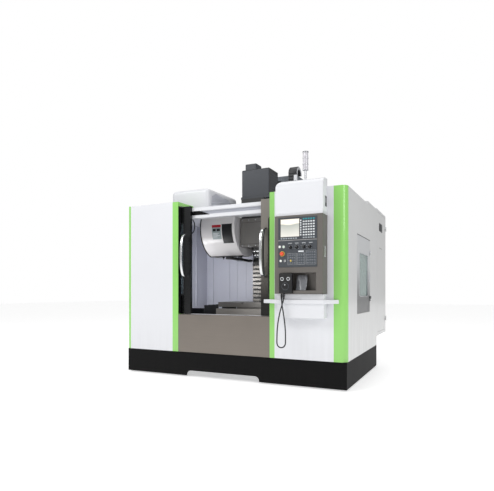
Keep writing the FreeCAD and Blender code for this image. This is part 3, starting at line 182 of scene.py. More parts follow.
def put(name, shape, finish, body, bevel=0.0, sharp=35, outward=True):
    """One piece of the machine, from its points and faces, on the body that it moves with."""
    mesh = bpy.data.meshes.new(name)
    mesh.from_pydata(np.asarray(shape[0]).tolist(), [], shape[1])
    if outward:
        work = bmesh.new()
        work.from_mesh(mesh)
        bmesh.ops.recalc_face_normals(work, faces=work.faces)
        work.to_mesh(mesh)
        work.free()
    mesh.shade_smooth()
    mesh.set_sharp_from_angle(angle=math.radians(sharp))
    mesh.materials.append(FINISHES[finish])
    piece = bpy.data.objects.new(name, mesh)
    SCENE.collection.objects.link(piece)
    if bevel:
        ease(piece, bevel)
    if body:
        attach(piece, body)
    return piece


def ease(piece, width, segments=2):
    """Break a piece's sharp edges with a small bevel."""
    edge = piece.modifiers.new("eased_edges", "BEVEL")
    edge.width, edge.segments = width, segments
    edge.limit_method, edge.angle_limit = "ANGLE", math.radians(40)
    edge.use_clamp_overlap = True


def finished(node, finish, body, width):
    """A CAD node's own shape, joined into whole faces and with its sharp edges broken."""
    mesh = NODES[node].data.copy()
    mesh.materials.clear()
    work = bmesh.new()
    work.from_mesh(mesh)
    bmesh.ops.remove_doubles(work, verts=work.verts, dist=2e-5)
    bmesh.ops.dissolve_degenerate(work, edges=work.edges, dist=1e-5)
    bmesh.ops.dissolve_limit(work, verts=work.verts, edges=work.edges, angle_limit=math.radians(0.6))
    bmesh.ops.recalc_face_normals(work, faces=work.faces)
    work.to_mesh(mesh)
    work.free()
    if "custom_normal" in mesh.attributes:
        mesh.attributes.remove(mesh.attributes["custom_normal"])
    mesh.shade_smooth()
    mesh.set_sharp_from_angle(angle=math.radians(32))
    mesh.materials.append(FINISHES[finish])
    piece = bpy.data.objects.new(node + "_eased", mesh)
    SCENE.collection.objects.link(piece)
    ease(piece, width)
    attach(piece, body)
    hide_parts(node)
    return piece


# ---------------------------------------------------------------- finishes

def linear(code):
    """A colour of six hex digits as linear red, green and blue."""
    value = np.array([int(code[k:k + 2], 16) / 255 for k in (0, 2, 4)])
    value = np.where(value <= 0.04045, value / 12.92, ((value + 0.055) / 1.055) ** 2.4)
    return (*value.tolist(), 1.0)


def node_group(name, inputs, outputs):
    """A shader node group with named sockets, and its two end nodes."""
    group = bpy.data.node_groups.new(name, "ShaderNodeTree")
    for label, kind, value in inputs:
        socket = group.interface.new_socket(name=label, in_out="INPUT", socket_type="NodeSocket" + kind)
        socket.default_value = value
    for label, kind in outputs:
        group.interface.new_socket(name=label, in_out="OUTPUT", socket_type="NodeSocket" + kind)
    return group, group.nodes.new("NodeGroupInput"), group.nodes.new("NodeGroupOutput")


def maths(tree, kind, *values):
    """A maths node fed by numbers or sockets; gives its output."""
    node = tree.nodes.new("ShaderNodeMath")
    node.operation = kind
    for socket, value in zip(node.inputs, values):
        if isinstance(value, (int, float)):
            socket.default_value = value
        else:
            tree.links.new(value, socket)
    return node.outputs[0]


def ranged(tree, value, low, high, first, last):
    """A value brought from one range to another and held at its ends."""
    node = tree.nodes.new("ShaderNodeMapRange")
    for socket, what in zip(node.inputs, (value, low, high, first, last)):
        if isinstance(what, (int, float)):
            socket.default_value = what
        else:
            tree.links.new(what, socket)
    return node.outputs[0]


def scaled(tree, vector, factor):
    """A colour or vector times a factor."""
    node = tree.nodes.new("ShaderNodeVectorMath")
    node.operation = "SCALE"
    tree.links.new(vector, node.inputs[0])
    tree.links.new(factor, node.inputs[3])
    return node.outputs[0]


def blended(tree, factor, first, second):
    """Two colours mixed by a factor."""
    node = tree.nodes.new("ShaderNodeMix")
    node.data_type = "RGBA"
    for socket, value in ((node.inputs[0], factor), (node.inputs[6], first), (node.inputs[7], second)):
        if isinstance(value, tuple):
            socket.default_value = value
        else:
            tree.links.new(value, socket)
    return node.outputs[2]


def noise(tree, vector, scale, detail=2.0):
    """A noise pattern on a vector."""
    node = tree.nodes.new("ShaderNodeTexNoise")
    node.inputs["Detail"].default_value = detail
    tree.links.new(vector, node.inputs["Vector"])
    if isinstance(scale, (int, float)):
        node.inputs["Scale"].default_value = scale
    else:
        tree.links.new(scale, node.inputs["Scale"])
    return node.outputs["Fac"]


def make_sprayed():
    """Sprayed enamel: cloudy tone, orange peel, and dust and oil that gather low down and in streaks."""
    group, start, end = node_group("sprayed_enamel", [
        ("Color", "Color", (0.8, 0.8, 0.8, 1)), ("Tone", "Float", 0.03), ("Rough", "Float", 0.35),
        ("Peel", "Float", 900.0), ("Soil", "Float", 0.0), ("Soil Top", "Float", 0.6)],
        [("Color", "Color"), ("Roughness", "Float"), ("Height", "Float")])
    place = group.nodes.new("ShaderNodeTexCoord").outputs["Object"]
    apart = group.nodes.new("ShaderNodeSeparateXYZ")
    group.links.new(place, apart.inputs[0])
    cloud, peel = noise(group, place, 2.2, 4.0), noise(group, place, start.outputs["Peel"], 1.0)
    streak_place = group.nodes.new("ShaderNodeVectorMath")
    streak_place.operation = "MULTIPLY"
    streak_place.inputs[1].default_value = (26.0, 26.0, 1.6)
    group.links.new(place, streak_place.inputs[0])
    streak = noise(group, streak_place.outputs[0], 1.0, 3.0)
    low = ranged(group, apart.outputs["Z"], 0.0, start.outputs["Soil Top"], 1.0, 0.0)
    dirt = maths(group, "MULTIPLY", low, ranged(group, streak, 0.35, 0.75, 0.25, 1.0))
    dirt = maths(group, "MULTIPLY", dirt, start.outputs["Soil"])
    factor = maths(group, "ADD", maths(group, "MULTIPLY", maths(group, "SUBTRACT", cloud, 0.5),
                                       maths(group, "MULTIPLY", start.outputs["Tone"], 2.0)), 1.0)
    color = blended(group, dirt, scaled(group, start.outputs["Color"], factor), (0.10, 0.09, 0.075, 1))
    rough = maths(group, "ADD", start.outputs["Rough"], maths(group, "MULTIPLY", dirt, 0.35))
    rough = maths(group, "ADD", rough, maths(group, "MULTIPLY", maths(group, "SUBTRACT", cloud, 0.5), 0.1))
    for label, value in (("Color", color), ("Roughness", rough), ("Height", peel)):
        group.links.new(value, end.inputs[label])
    return group


def make_brushed():
    """Brushed metal: fine streaks along one direction, smudges, and a fade from its foot to its top, which is
    painted reflection and painted shade that darkens the colour towards the foot.
    """
    group, start, end = node_group("brushed_metal", [
        ("Color", "Color", (0.5, 0.5, 0.5, 1)), ("Tone", "Float", 0.12), ("Rough", "Float", 0.35),
        ("Stretch", "Vector", (6.0, 6.0, 700.0)), ("Foot", "Float", -2.0), ("Top", "Float", -1.0),
        ("Dark", "Float", 1.0)],
        [("Color", "Color"), ("Roughness", "Float"), ("Height", "Float")])
    place = group.nodes.new("ShaderNodeTexCoord").outputs["Object"]
    apart = group.nodes.new("ShaderNodeSeparateXYZ")
    group.links.new(place, apart.inputs[0])
    long = group.nodes.new("ShaderNodeVectorMath")
    long.operation = "MULTIPLY"
    group.links.new(place, long.inputs[0])
    group.links.new(start.outputs["Stretch"], long.inputs[1])
    lines, smudge = noise(group, long.outputs[0], 1.0, 4.0), noise(group, place, 3.5, 5.0)
    spread = maths(group, "MULTIPLY", start.outputs["Tone"], 2.0)
    factor = maths(group, "ADD", maths(group, "MULTIPLY", maths(group, "SUBTRACT", lines, 0.5), spread), 1.0)
    cloudy = maths(group, "ADD", maths(group, "MULTIPLY", maths(group, "SUBTRACT", smudge, 0.5), spread), 1.0)
    # painted reflection and painted shade: the colour is scaled from Dark at Foot up to 1 at Top
    fade = ranged(group, apart.outputs["Z"], start.outputs["Foot"], start.outputs["Top"],
                  start.outputs["Dark"], 1.0)
    factor = maths(group, "MULTIPLY", maths(group, "MULTIPLY", factor, cloudy), fade)
    rough = maths(group, "ADD", start.outputs["Rough"],
                  maths(group, "MULTIPLY", maths(group, "SUBTRACT", smudge, 0.5), 0.22))
    for label, value in (("Color", scaled(group, start.outputs["Color"], factor)), ("Roughness", rough),
                         ("Height", lines)):
        group.links.new(value, end.inputs[label])
    return group


SPRAYED, BRUSHED = make_sprayed(), make_brushed()
FINISHES, SLOTS = {}, {}


def finish(name, slot, group, color, metal=0.0, coat=0.0, bump=0.08, deep=0.0004, through=0.0, shine=0.5,
           **values):
    """A material: one of the two shared groups feeds the surface, and the rest is set on the shader."""
    material = bpy.data.materials.new(name)
    material.use_nodes = True
    tree = material.node_tree
    shader = tree.nodes["Principled BSDF"]
    layer = tree.nodes.new("ShaderNodeGroup")
    layer.node_tree = group
    layer.inputs["Color"].default_value = linear(color)
    for key, value in values.items():
        layer.inputs[key.replace("_", " ").title()].default_value = value
    tree.links.new(layer.outputs["Color"], shader.inputs["Base Color"])
    tree.links.new(layer.outputs["Roughness"], shader.inputs["Roughness"])
    rise = tree.nodes.new("ShaderNodeBump")
    rise.inputs["Strength"].default_value = bump
    rise.inputs["Distance"].default_value = deep
    tree.links.new(layer.outputs["Height"], rise.inputs["Height"])
    tree.links.new(rise.outputs[0], shader.inputs["Normal"])
    shader.inputs["Metallic"].default_value = metal
    shader.inputs["Coat Weight"].default_value = coat
    shader.inputs["Coat Roughness"].default_value = 0.12
    shader.inputs["Transmission Weight"].default_value = through
    shader.inputs["IOR"].default_value = 1.5
    shader.inputs["Specular IOR Level"].default_value = shine
    FINISHES[name], SLOTS[name] = material, slot
    return material


def make_finishes():
    """Every paint, metal, plastic and glass of the machine."""
    finish("leaf_green", "green_paint", SPRAYED, "8ccd66", coat=0.5, rough=0.3, tone=0.04, soil=0.25,
           soil_top=0.5)
    finish("machine_white", "white_paint", SPRAYED, "dbdce0", coat=0.25, rough=0.38, tone=0.015, soil=0.12,
           soil_top=0.7)
    finish("drum_white", "white_paint", SPRAYED, "d3d1d1", coat=0.2, rough=0.4, tone=0.02)
    finish("side_white", "white_paint", SPRAYED, "d2d3d3", metal=0.25, coat=0.3, rough=0.3, tone=0.05,
           soil=0.2, soil_top=1.3)
    finish("plinth_black", "black_paint", SPRAYED, "050506", rough=0.6, tone=0.1, soil=0.03, soil_top=0.25,
           shine=0.15)
    finish("deep_black", "black_paint", SPRAYED, "101113", rough=0.4, tone=0.12)
    finish("motor_slate", "slate_paint", SPRAYED, "2e3239", rough=0.42, tone=0.07, bump=0.12)
    finish("panel_taupe", "taupe_paint", SPRAYED, "6a6662", metal=0.35, rough=0.4, tone=0.05,
           peel=1500.0)
    finish("lining_grey", "lining_paint", SPRAYED, "c8cad6", rough=0.42, tone=0.05, soil=0.55, soil_top=0.9)
    finish("casting_grey", "cast_iron_grey", SPRAYED, "5e646b", rough=0.5, tone=0.12, soil=0.5, soil_top=0.9,
           peel=260.0, bump=0.35, deep=0.0012)
    finish("cover_grey", "cast_iron_grey", SPRAYED, "6e6c69", metal=0.2, rough=0.4, tone=0.06)
    # right door: the fade to 0.08 below 0.84 m, up to full colour at 1.32 m, is a painted reflection, dark at
    # the foot and bright at the top
    finish("door_steel", "door_metal", BRUSHED, "817c77", metal=0.35, coat=0.1, rough=0.3, tone=0.05,
           stretch=(500.0, 500.0, 3.0), foot=0.84, top=1.32, dark=0.08, bump=0.03, shine=0.25)
    # left door: a near-black copy of the door metal is painted shade of the recess behind the left tower, and
    # its fade towards the foot is a painted reflection
    finish("left_door_shaded_steel", "door_metal", BRUSHED, "1d1e20", metal=0.6, coat=0.2, rough=0.26, tone=0.08,
           stretch=(500.0, 500.0, 3.0), foot=0.7, top=1.8, dark=0.55, bump=0.03)
    finish("apron_steel", "stainless", BRUSHED, "7d766f", metal=0.6, rough=0.36, tone=0.09,
           stretch=(3.0, 500.0, 500.0), bump=0.06)
    finish("guard_steel", "stainless", BRUSHED, "8f8b86", metal=0.5, rough=0.36, tone=0.06,
           stretch=(3.0, 500.0, 500.0), bump=0.04)
    # side door: the fade to 0.20 towards its foot is painted shade and painted reflection
    finish("side_steel", "door_metal", BRUSHED, "c6c8ca", metal=0.30, rough=0.34, tone=0.01,
           stretch=(6.0, 4.0, 6.0), foot=0.85, top=1.22, dark=0.20, bump=0.0)
    finish("way_steel", "ground_steel", BRUSHED, "b9bcc0", metal=1.0, rough=0.22, tone=0.06, bump=0.04)
    finish("screw_steel", "ground_steel", BRUSHED, "a9adb2", metal=1.0, rough=0.2, tone=0.05, bump=0.02)
    finish("table_steel", "table_steel", BRUSHED, "63615e", metal=0.5, rough=0.3, tone=0.12,
           stretch=(5.0, 420.0, 420.0), bump=0.05)
    finish("lamella_steel", "stainless", BRUSHED, "94908a", metal=0.3, rough=0.32, tone=0.06,
           stretch=(3.0, 500.0, 500.0), bump=0.03)
    # painted shade: a dark copy of the lamellae's stainless for the sheet between them
    finish("web_shaded_steel", "stainless", SPRAYED, "403f3d", rough=0.5, tone=0.04)
    # painted shade: grey copy of the white paint for the back of the header's groove
    finish("groove_shaded_white", "white_paint", SPRAYED, "a2a4ae", rough=0.45, tone=0.02)
    finish("handle_silver", "silver_bar", BRUSHED, "d9dadb", metal=1.0, rough=0.18, tone=0.03,
           stretch=(500.0, 500.0, 5.0), bump=0.02)
    finish("screen_rim", "plate_plastic", SPRAYED, "34363a", rough=0.45, tone=0.04, peel=1500.0)
    finish("plate_slate", "plate_plastic", SPRAYED, "3d4147", rough=0.5, tone=0.05, peel=1500.0)
    finish("key_grey", "key_plastic", SPRAYED, "5a5f66", rough=0.5, tone=0.05)
    finish("legend_white", "white_plastic", SPRAYED, "d9dde0", rough=0.5, tone=0.03)
    finish("button_white", "white_plastic", SPRAYED, "f2f4ee", coat=0.4, rough=0.3, tone=0.02)
    finish("button_green", "white_plastic", SPRAYED, "cfe0cf", coat=0.4, rough=0.3, tone=0.02)
    finish("button_yellow", "white_plastic", SPRAYED, "e3c94a", coat=0.3, rough=0.35, tone=0.03)
    finish("stop_red", "red_plastic", SPRAYED, "e2481f", coat=0.5, rough=0.3, tone=0.04)
    finish("label_red", "red_plastic", SPRAYED, "a3202b", rough=0.4, tone=0.04)
    finish("label_grey", "plate_plastic", SPRAYED, "8f9a9a", rough=0.4, tone=0.06)
    finish("knob_black", "black_plastic", SPRAYED, "131416", rough=0.35, tone=0.05)
    finish("pendant_black", "black_plastic", SPRAYED, "0c0d0f", rough=0.5, tone=0.06,
           peel=1800.0, bump=0.2)
    finish("trim_rubber", "cord_rubber", SPRAYED, "111214", rough=0.6, tone=0.08)
    finish("cord_rubber", "cord_rubber", SPRAYED, "1c1d20", rough=0.48, tone=0.08, bump=0.15)
    finish("pad_rubber", "pad_rubber", SPRAYED, "1b1b1b", rough=0.8, tone=0.1, soil=0.5, soil_top=0.1)
    finish("chain_plastic", "black_plastic", SPRAYED, "222326", rough=0.45, tone=0.06)
    finish("chain_grey", "plate_plastic", SPRAYED, "b4b5b9", rough=0.5, tone=0.06)
    finish("tinted_pane", "pane", SPRAYED, "6a7476", rough=0.06, tone=0.02, through=0.85, bump=0.0)
    finish("side_pane", "pane", SPRAYED, "b9cfcb", rough=0.08, tone=0.02, through=0.6, bump=0.0)
    finish("lens_milk", "lens", SPRAYED, "e6e4ea", rough=0.2, tone=0.02, through=0.3, coat=0.3)
    finish("pole_silver", "silver_bar", BRUSHED, "c9cacd", metal=0.7, rough=0.3, tone=0.03, bump=0.02)
    finish("pouch_clear", "white_plastic", SPRAYED, "8e9095", rough=0.25, tone=0.05,
           through=0.35, coat=0.3)
    teal_keys()
    screen_glow()


def teal_keys():
    """Key caps: pale, with the upper row teal and the lowest row grey, told apart by height and place."""
    material = finish("key_caps", "key_plastic", SPRAYED, "d4d8da", rough=0.45, tone=0.03)
    tree = material.node_tree
    shader = tree.nodes["Principled BSDF"]
    layer = shader.inputs["Base Color"].links[0].from_socket
    apart = tree.nodes.new("ShaderNodeSeparateXYZ")
    tree.links.new(tree.nodes.new("ShaderNodeTexCoord").outputs["Object"], apart.inputs[0])
    high = ranged(tree, apart.outputs["Z"], 1.604, 1.606, 0.0, 1.0)
    right = ranged(tree, apart.outputs["X"], 0.900, 0.902, 0.0, 1.0)
    low = ranged(tree, apart.outputs["Z"], 1.452, 1.450, 0.0, 1.0)
    color = blended(tree, maths(tree, "MULTIPLY", high, right), layer, linear("2f8d97"))
    color = blended(tree, low, color, linear("9aa0a4"))
    tree.links.new(color, shader.inputs["Base Color"])


def screen_glow():
    """Lit display: a cream upper field over a grey one, parted by a slow wave, with a few plain rows."""
    material = finish("screen_glass", "screen", SPRAYED, "202226", rough=0.12, tone=0.02,
                      coat=0.6, bump=0.0)
    tree = material.node_tree
    shader = tree.nodes["Principled BSDF"]
    apart = tree.nodes.new("ShaderNodeSeparateXYZ")
    tree.links.new(tree.nodes.new("ShaderNodeTexCoord").outputs["Object"], apart.inputs[0])
    turn = maths(tree, "MULTIPLY", apart.outputs["X"], 34.0)
    wave = maths(tree, "MULTIPLY", maths(tree, "SINE", turn), 0.005)
    level = maths(tree, "ADD", apart.outputs["Z"], wave)
    upper = ranged(tree, level, 1.570, 1.578, 0.0, 1.0)
    fade = ranged(tree, level, 1.47, 1.575, 0.0, 1.0)
    lower = blended(tree, fade, linear("d9d7cf"), linear("a9ada6"))
    color = blended(tree, upper, lower, linear("f4ecdc"))
    tree.links.new(color, shader.inputs["Base Color"])
    tree.links.new(color, shader.inputs["Emission Color"])
    shader.inputs["Emission Strength"].default_value = 0.18


make_finishes()


# ---------------------------------------------------------------- camera, light and floor

VIEW_PLACE, VIEW_TURN = (2.2787, -5.1301, 0.93575), 25.05
VIEW_LENS, VIEW_SHIFT = 32.24, (-0.0182, 0.0933)
FLOOR_GLOW, ROOM_LIGHT, ROOM_SEEN = 0.47, 0.52, 1.0


def camera():
    """A long view from the front right at chest height."""
    data = bpy.data.cameras.new("view")
    item = bpy.data.objects.new("view", data)
    SCENE.collection.objects.link(item)
    item.location = VIEW_PLACE
    item.rotation_euler = (math.radians(90), 0, math.radians(VIEW_TURN))
    data.sensor_width, data.lens = 36, VIEW_LENS
    data.shift_x, data.shift_y = VIEW_SHIFT
    data.clip_end = 200
    SCENE.camera = item


def lamp(name, place, aim, size, power):
    """A square soft light that faces a point."""
    data = bpy.data.lights.new(name, "AREA")
    data.shape, data.size, data.energy = "SQUARE", size, power
    item = bpy.data.objects.new(name, data)
    SCENE.collection.objects.link(item)
    item.location = place
    way = np.array(aim, float) - np.array(place, float)
    flat = math.hypot(way[0], way[1])
    item.rotation_euler = (math.atan2(flat, -way[2]), 0, math.atan2(way[1], way[0]) - math.pi / 2)
    return item


def studio():
    """White surroundings, a pale floor, three soft lights outside and four small ones inside the machine."""
    SCENE.view_settings.view_transform = "Standard"
    world = bpy.data.worlds.new("white_room")
    world.use_nodes = True
    tree = world.node_tree
    tree.nodes["Background"].inputs[0].default_value = (1, 1, 1, 1)
    seen = tree.nodes.new("ShaderNodeLightPath").outputs["Is Camera Ray"]
    tree.links.new(ranged(tree, seen, 0.0, 1.0, ROOM_LIGHT, ROOM_SEEN), tree.nodes["Background"].inputs[1])
    SCENE.world = world
    steps = np.linspace(-30, 30, 7)
    points, faces = strip(np.stack([*np.meshgrid(steps, steps, indexing="ij"), np.full((7, 7), -0.0005)], -1))
    mesh = bpy.data.meshes.new("floor")
    mesh.from_pydata(points.tolist(), [], faces)
    floor = bpy.data.objects.new("floor", mesh)
    SCENE.collection.objects.link(floor)
    material = bpy.data.materials.new("pale_floor")
    material.use_nodes = True
    shader = material.node_tree.nodes["Principled BSDF"]
    shader.inputs["Base Color"].default_value = (0.93, 0.93, 0.93, 1)
    shader.inputs["Roughness"].default_value = 0.6
    shader.inputs["Emission Color"].default_value = (1, 1, 1, 1)
    shader.inputs["Emission Strength"].default_value = FLOOR_GLOW
    mesh.materials.append(material)
    lamp("key_light", (-3.5, -6.0, 5.5), (0, 0, 1.0), 3.0, 190)
    lamp("fill_light", (5.5, -4.5, 3.5), (0.6, -0.5, 1.0), 2.5, 95)
    lamp("top_light", (0.0, -0.5, 6.5), (0, 0, 1.0), 4.0, 90)
    for name, place, aim, power in (("left_work_light", (-0.88, -0.72, 1.15), (-0.60, 0.40, 1.00), 4.2),
                                    ("right_work_light", (0.80, -0.72, 1.15), (0.60, 0.40, 1.00), 2.6),
                                    ("middle_work_light", (-0.05, -0.82, 0.95), (-0.20, 0.40, 0.90), 1.8),
                                    ("hood_light", (-0.55, -0.30, 2.05), (-0.70, -0.30, 1.90), 0.6)):
        size = 0.10 if name == "hood_light" else 0.30
        lamp(name, place, aim, size, power).visible_camera = False


camera()
studio()


# ---------------------------------------------------------------- hand wheel cord

CORD_ROUTE = [(0.735, -1.2025, 0.900), (0.733, -1.2035, 0.858), (0.718, -1.2075, 0.806),
              (0.697, -1.2105, 0.736), (0.680, -1.2115, 0.650), (0.6695, -1.2105, 0.560),
              (0.6665, -1.2085, 0.482), (0.6665, -1.2065, 0.425), (0.6905, -1.2035, 0.401),
              (0.7245, -1.1995, 0.401), (0.7485, -1.1955, 0.425), (0.7485, -1.1915, 0.482),
              (0.746, -1.1875, 0.560), (0.736, -1.1845, 0.650), (0.722, -1.1825, 0.736),
              (0.708, -1.1795, 0.806), (0.701, -1.1745, 0.858), (0.700, -1.1715, 0.895)]
CORD_LENGTH, CORD_ROUND = 1.0529, 0.006


def hand_wheel_cord():
    """The pendant's cord as a smooth hanging loop, with a tapered, ribbed relief and a nut at each end."""
    data = bpy.data.curves.new("pendant_cord", "CURVE")
    data.dimensions = "3D"
    line = data.splines.new("NURBS")
    line.points.add(len(CORD_ROUTE) - 1)
    for point, spot in zip(line.points, CORD_ROUTE):
        point.co = (*spot, 1.0)
    line.order_u = 3
    line.use_endpoint_u = True
    line.resolution_u = 10
    data.bevel_depth, data.bevel_resolution = CORD_ROUND, 4
    data.use_fill_caps = True
    data.materials.append(FINISHES["cord_rubber"])
    cord = bpy.data.objects.new("pendant_cord", data)
    SCENE.collection.objects.link(cord)
    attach(cord, "machine")
    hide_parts("mpg_cord")
    count, taper, rib, pitch = 13, 0.0042, 0.0009, 0.0032
    thin = CORD_ROUND + 0.0004
    ribs = [(thin + taper * (1 - k / (count - 1)) + (rib if k % 2 else 0.0), -0.001 + pitch * k)
            for k in range(count)]
    nut = [(0.0105, 0.020), (0.0105, 0.008), (0.0098, 0.0065), (0.0098, 0.0), (0.0075, -0.001)]
    ends = (CORD_ROUTE[0], CORD_ROUTE[-1])
    shapes = [turned(ribs, spot, "-z", 20) for spot in ends] + [turned(nut, spot, "z", 6) for spot in ends]
    relief = put("pendant_cord_reliefs", together(*shapes), "trim_rubber", "machine")
    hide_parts("cable_glands")


hand_wheel_cord()


# ---------------------------------------------------------------- covers that fold

def folding_cover():
    """Column cover: thirteen pale lamellae that stand off a dark sheet at an even pitch; the dark sheet is
    painted shade between the lamellae.
    """
    low, high = corners("z_cover")
    count, proud, tall, travel = 13, 0.012, 0.73, 0.48
    pitch = (high[2] - low[2]) / count
    foot = low[2] + pitch * np.arange(count)
    lamellae = blocks(at(low[0], low[1], foot + 0.42 * pitch),
                      at(high[0], low[1] + proud, foot + 0.97 * pitch))
    # painted shade between the lamellae
    web = blocks((low[0] + 0.002, low[1] + 0.011, low[2]), (high[0] - 0.002, high[1], high[2]))
    for name, shape, look in (("column_lamellae", lamellae, "lamella_steel"),
                              ("column_web_painted_shade", web, "web_shaded_steel")):
        cover = put(name, shape, look, "machine")
        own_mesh(cover)
        if name == "column_lamellae":
            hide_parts("z_cover")


def chain_line(count, thick):
    """The chain's centre line from the head up and over onto the column: leg, then half a circle."""
    low, high = corners("cable_chain")
    reach = (high[1] - low[1] - thick) / 2
    near, spring = low[1] + thick / 2, high[2] - reach - thick / 2
    leg = spring - low[2]
    s = np.linspace(0, leg + math.pi * reach, count)
    turn = np.clip((s - leg) / reach, 0, math.pi)
    y = near + reach * (1 - np.cos(turn))
    z = np.where(s < leg, low[2] + s, spring + reach * np.sin(turn))
    out = np.stack([-np.cos(turn), np.sin(turn)], 1)
    return (y, z, out, (low[0] + high[0]) / 2), high[0] - low[0]


def chain_strand(line, outline, swell, shift=0.0):
    """An outline (m, 2) carried along the chain: x = middle + shift + across, and rise * swell outwards."""
    y, z, out, middle = line
    grid = np.zeros((len(y), len(outline), 3))
    grid[..., 0] = middle + shift + outline[None, :, 0]
    reach = outline[None, :, 1] * swell[:, None]
    grid[..., 1] = y[:, None] + reach * out[:, None, 0]
    grid[..., 2] = z[:, None] + reach * out[:, None, 1]
    return loft(grid)


def cable_carrier():
    """Chain links: a rounded box carried along the centre line, pinched between links; grey side plates."""
    links, per, thick = 18, 6, 0.045
    line, wide = chain_line(links * per + 1, thick)
    phase = (np.arange(links * per + 1) % per) / per
    inside = (phase > 0.1) & (phase < 0.9)
    shell = chain_strand(line, rounded(wide - 0.004, thick, 0.006, 2), np.where(inside, 1.0, 0.84))
    plate = np.array([[-1, -1], [1, -1], [1, 1], [-1, 1]]) * [0.0011, 0.021]
    plates = together(*[chain_strand(line, plate, np.where(inside, 0.74, 0.42), side * (wide / 2 - 0.0012))
                        for side in (-1, 1)])
    for name, shape, look in (("chain_links", shell, "chain_plastic"),
                              ("chain_side_plates", plates, "chain_grey")):
        piece = put(name, shape, look, None)
        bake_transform(piece)
        if name == "chain_links":
            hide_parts("cable_chain")


def way_covers():
    """Telescopic covers beside the table: three nested sections, each an upturned U carried along X."""
    low, high = corners("table_covers")
    table_low, table_high = corners("table")
    sections, sheet, step, rim_wide, cap_high = 3, 0.003, 0.005, 0.006, 0.034
    inset = 2 * step + sheet
    shapes = []
    for start, end in ((table_low[0], low[0]), (table_high[0], high[0])):
        whole, way = end - start, math.copysign(1, end - start)
        for k in range(sections):
            near, far = start + whole * k / sections, start + whole * (k + 1) / sections
            far += whole / 30 if k < sections - 1 else 0
            y0, y1, z1 = low[1] + step * k, high[1] - step * k, high[2] - step * k
            loop = np.array([[y0, low[2]], [y0, z1], [y1, z1], [y1, low[2]], [y1 - sheet, low[2]],
                             [y1 - sheet, z1 - sheet], [y0 + sheet, z1 - sheet], [y0 + sheet, low[2]]])
            shapes.append(prism(loop, "x", (near, far)))
            rim = sorted((far, far - rim_wide * way))
            shapes.append(blocks((rim[0], y0 + 0.0005, z1 - 0.0025), (rim[1], y1 - 0.0005, z1 + 0.0022)))
        cap = sorted((end, end - sheet * way))
        shapes.append(blocks((cap[0], low[1] + inset, high[2] - cap_high),
                             (cap[1], high[1] - inset, high[2] - inset)))
    piece = put("table_way_covers", together(*shapes), "deep_black", "table", bevel=0.0008)
    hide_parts("table_covers")


folding_cover()
cable_carrier()
way_covers()


# ---------------------------------------------------------------- doors and handles

def handle_arch(low, high, x, longer, lower, count):
    """A handle's path over half a turn: a superellipse arch that stands off the door.

    z = middle - half * sign(cos) * |cos| ** 0.8, and y = foot - reach * sin ** 0.62.
    """
    turn = np.linspace(0, math.pi, count)
    middle, half = (low[2] + high[2]) / 2, (high[2] - low[2]) / 2 + longer
    z = middle - half * np.sign(np.cos(turn)) * np.abs(np.cos(turn)) ** 0.8
    return at(x, high[1] - (high[1] - low[1] - lower) * np.sin(turn) ** 0.62, z)


def bow_handle(side):
    """Bow handle: a flat rounded bar carried along an arch that stands off the door."""
    low, high = corners(side + "_handle")
    if side == "right":
        low, high = low + (0.008, 0.012, 0), high + (0.010, 0, 0)
    path = handle_arch(low, high, (low[0] + high[0]) / 2, -0.007, 0.007, 49)
    bar = rounded(0.013, high[0] - low[0], 0.006, 4)
    piece = put(side + "_bow_handle", carried(bar, path, (1, 0, 0)), "handle_silver", side + "_door")
    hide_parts(side + "_handle")


def painted_handle_shadow(side, x0, x1):
    """Painted shadow of a handle: a black bow on the same arch, a little longer than the bar and lower."""
    path = handle_arch(*corners(side + "_handle"), (x0 + x1) / 2, 0.006, 0.034, 41)
    put(side + "_handle_painted_shadow", carried(rounded(0.010, x1 - x0, 0.004, 3), path, (1, 0, 0)), "knob_black",
        side + "_door")


def frame_seal(node, body, name, plane, radius=0.006, look="trim_rubber"):
    """Rubber seal round a window: a round bead carried round a rounded rectangle."""
    low, high = corners(node)
    across = 1 if plane == "x" else 0
    flat = rounded(high[across] - low[across] + 0.004, high[2] - low[2] + 0.004, 0.03, 6)
    centre = (low + high) / 2
    if plane == "y":
        path = at(centre[0] + flat[:, 0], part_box(body)[0][1] - 0.001, centre[2] + flat[:, 1])
    else:
        path = at(SIDE_FACE + 0.0005, centre[1] + flat[:, 0], centre[2] + flat[:, 1])
    facing = (0, 1, 0) if plane == "y" else (1, 0, 0)
    return put(name, carried(circle(radius, 8), path, facing, ring=True), look, body)


# painted shadow of the right door's handle
painted_handle_shadow("right", 0.4425, 0.460)
for hand in ("left", "right"):
    bow_handle(hand)
    frame_seal(hand + "_window", hand + "_door", hand + "_door_seal", "y")
frame_seal("side_window", "side_door", "side_door_seal", "x", 0.003, "chain_grey")


# ---------------------------------------------------------------- CAD shapes with eased edges

EASED = [("panel_housing", "panel_taupe", "machine", 0.006), ("panel_box", "machine_white", "machine", 0.004),
         ("roof_hood", "machine_white", "machine", 0.006), ("head_cover", "cover_grey", "head", 0.006),
         ("spindle_motor", "motor_slate", "head", 0.008), ("magazine_cover", "drum_white", "machine", 0.003),
         ("door_header", "machine_white", "machine", 0.003), ("front_apron", "apron_steel", "machine", 0.003),
         ("table", "table_steel", "table", 0.002), ("column_casting", "casting_grey", "machine", 0.004),
         ("saddle", "casting_grey", "saddle", 0.003), ("mpg_housing", "pendant_black", "machine", 0.005),
         ("panel_plates", "plate_slate", "machine", 0.0015), ("panel_keys", "key_caps", "machine", 0.0008),
         ("change_arm", "deep_black", "change_arm", 0.002),
         ("plinth_skirt", "plinth_black", "machine", 0.003),
         ("axis_motors", "deep_black", "machine", 0.004), ("x_motor", "deep_black", "saddle", 0.004)]
for row in EASED:
    finished(*row)

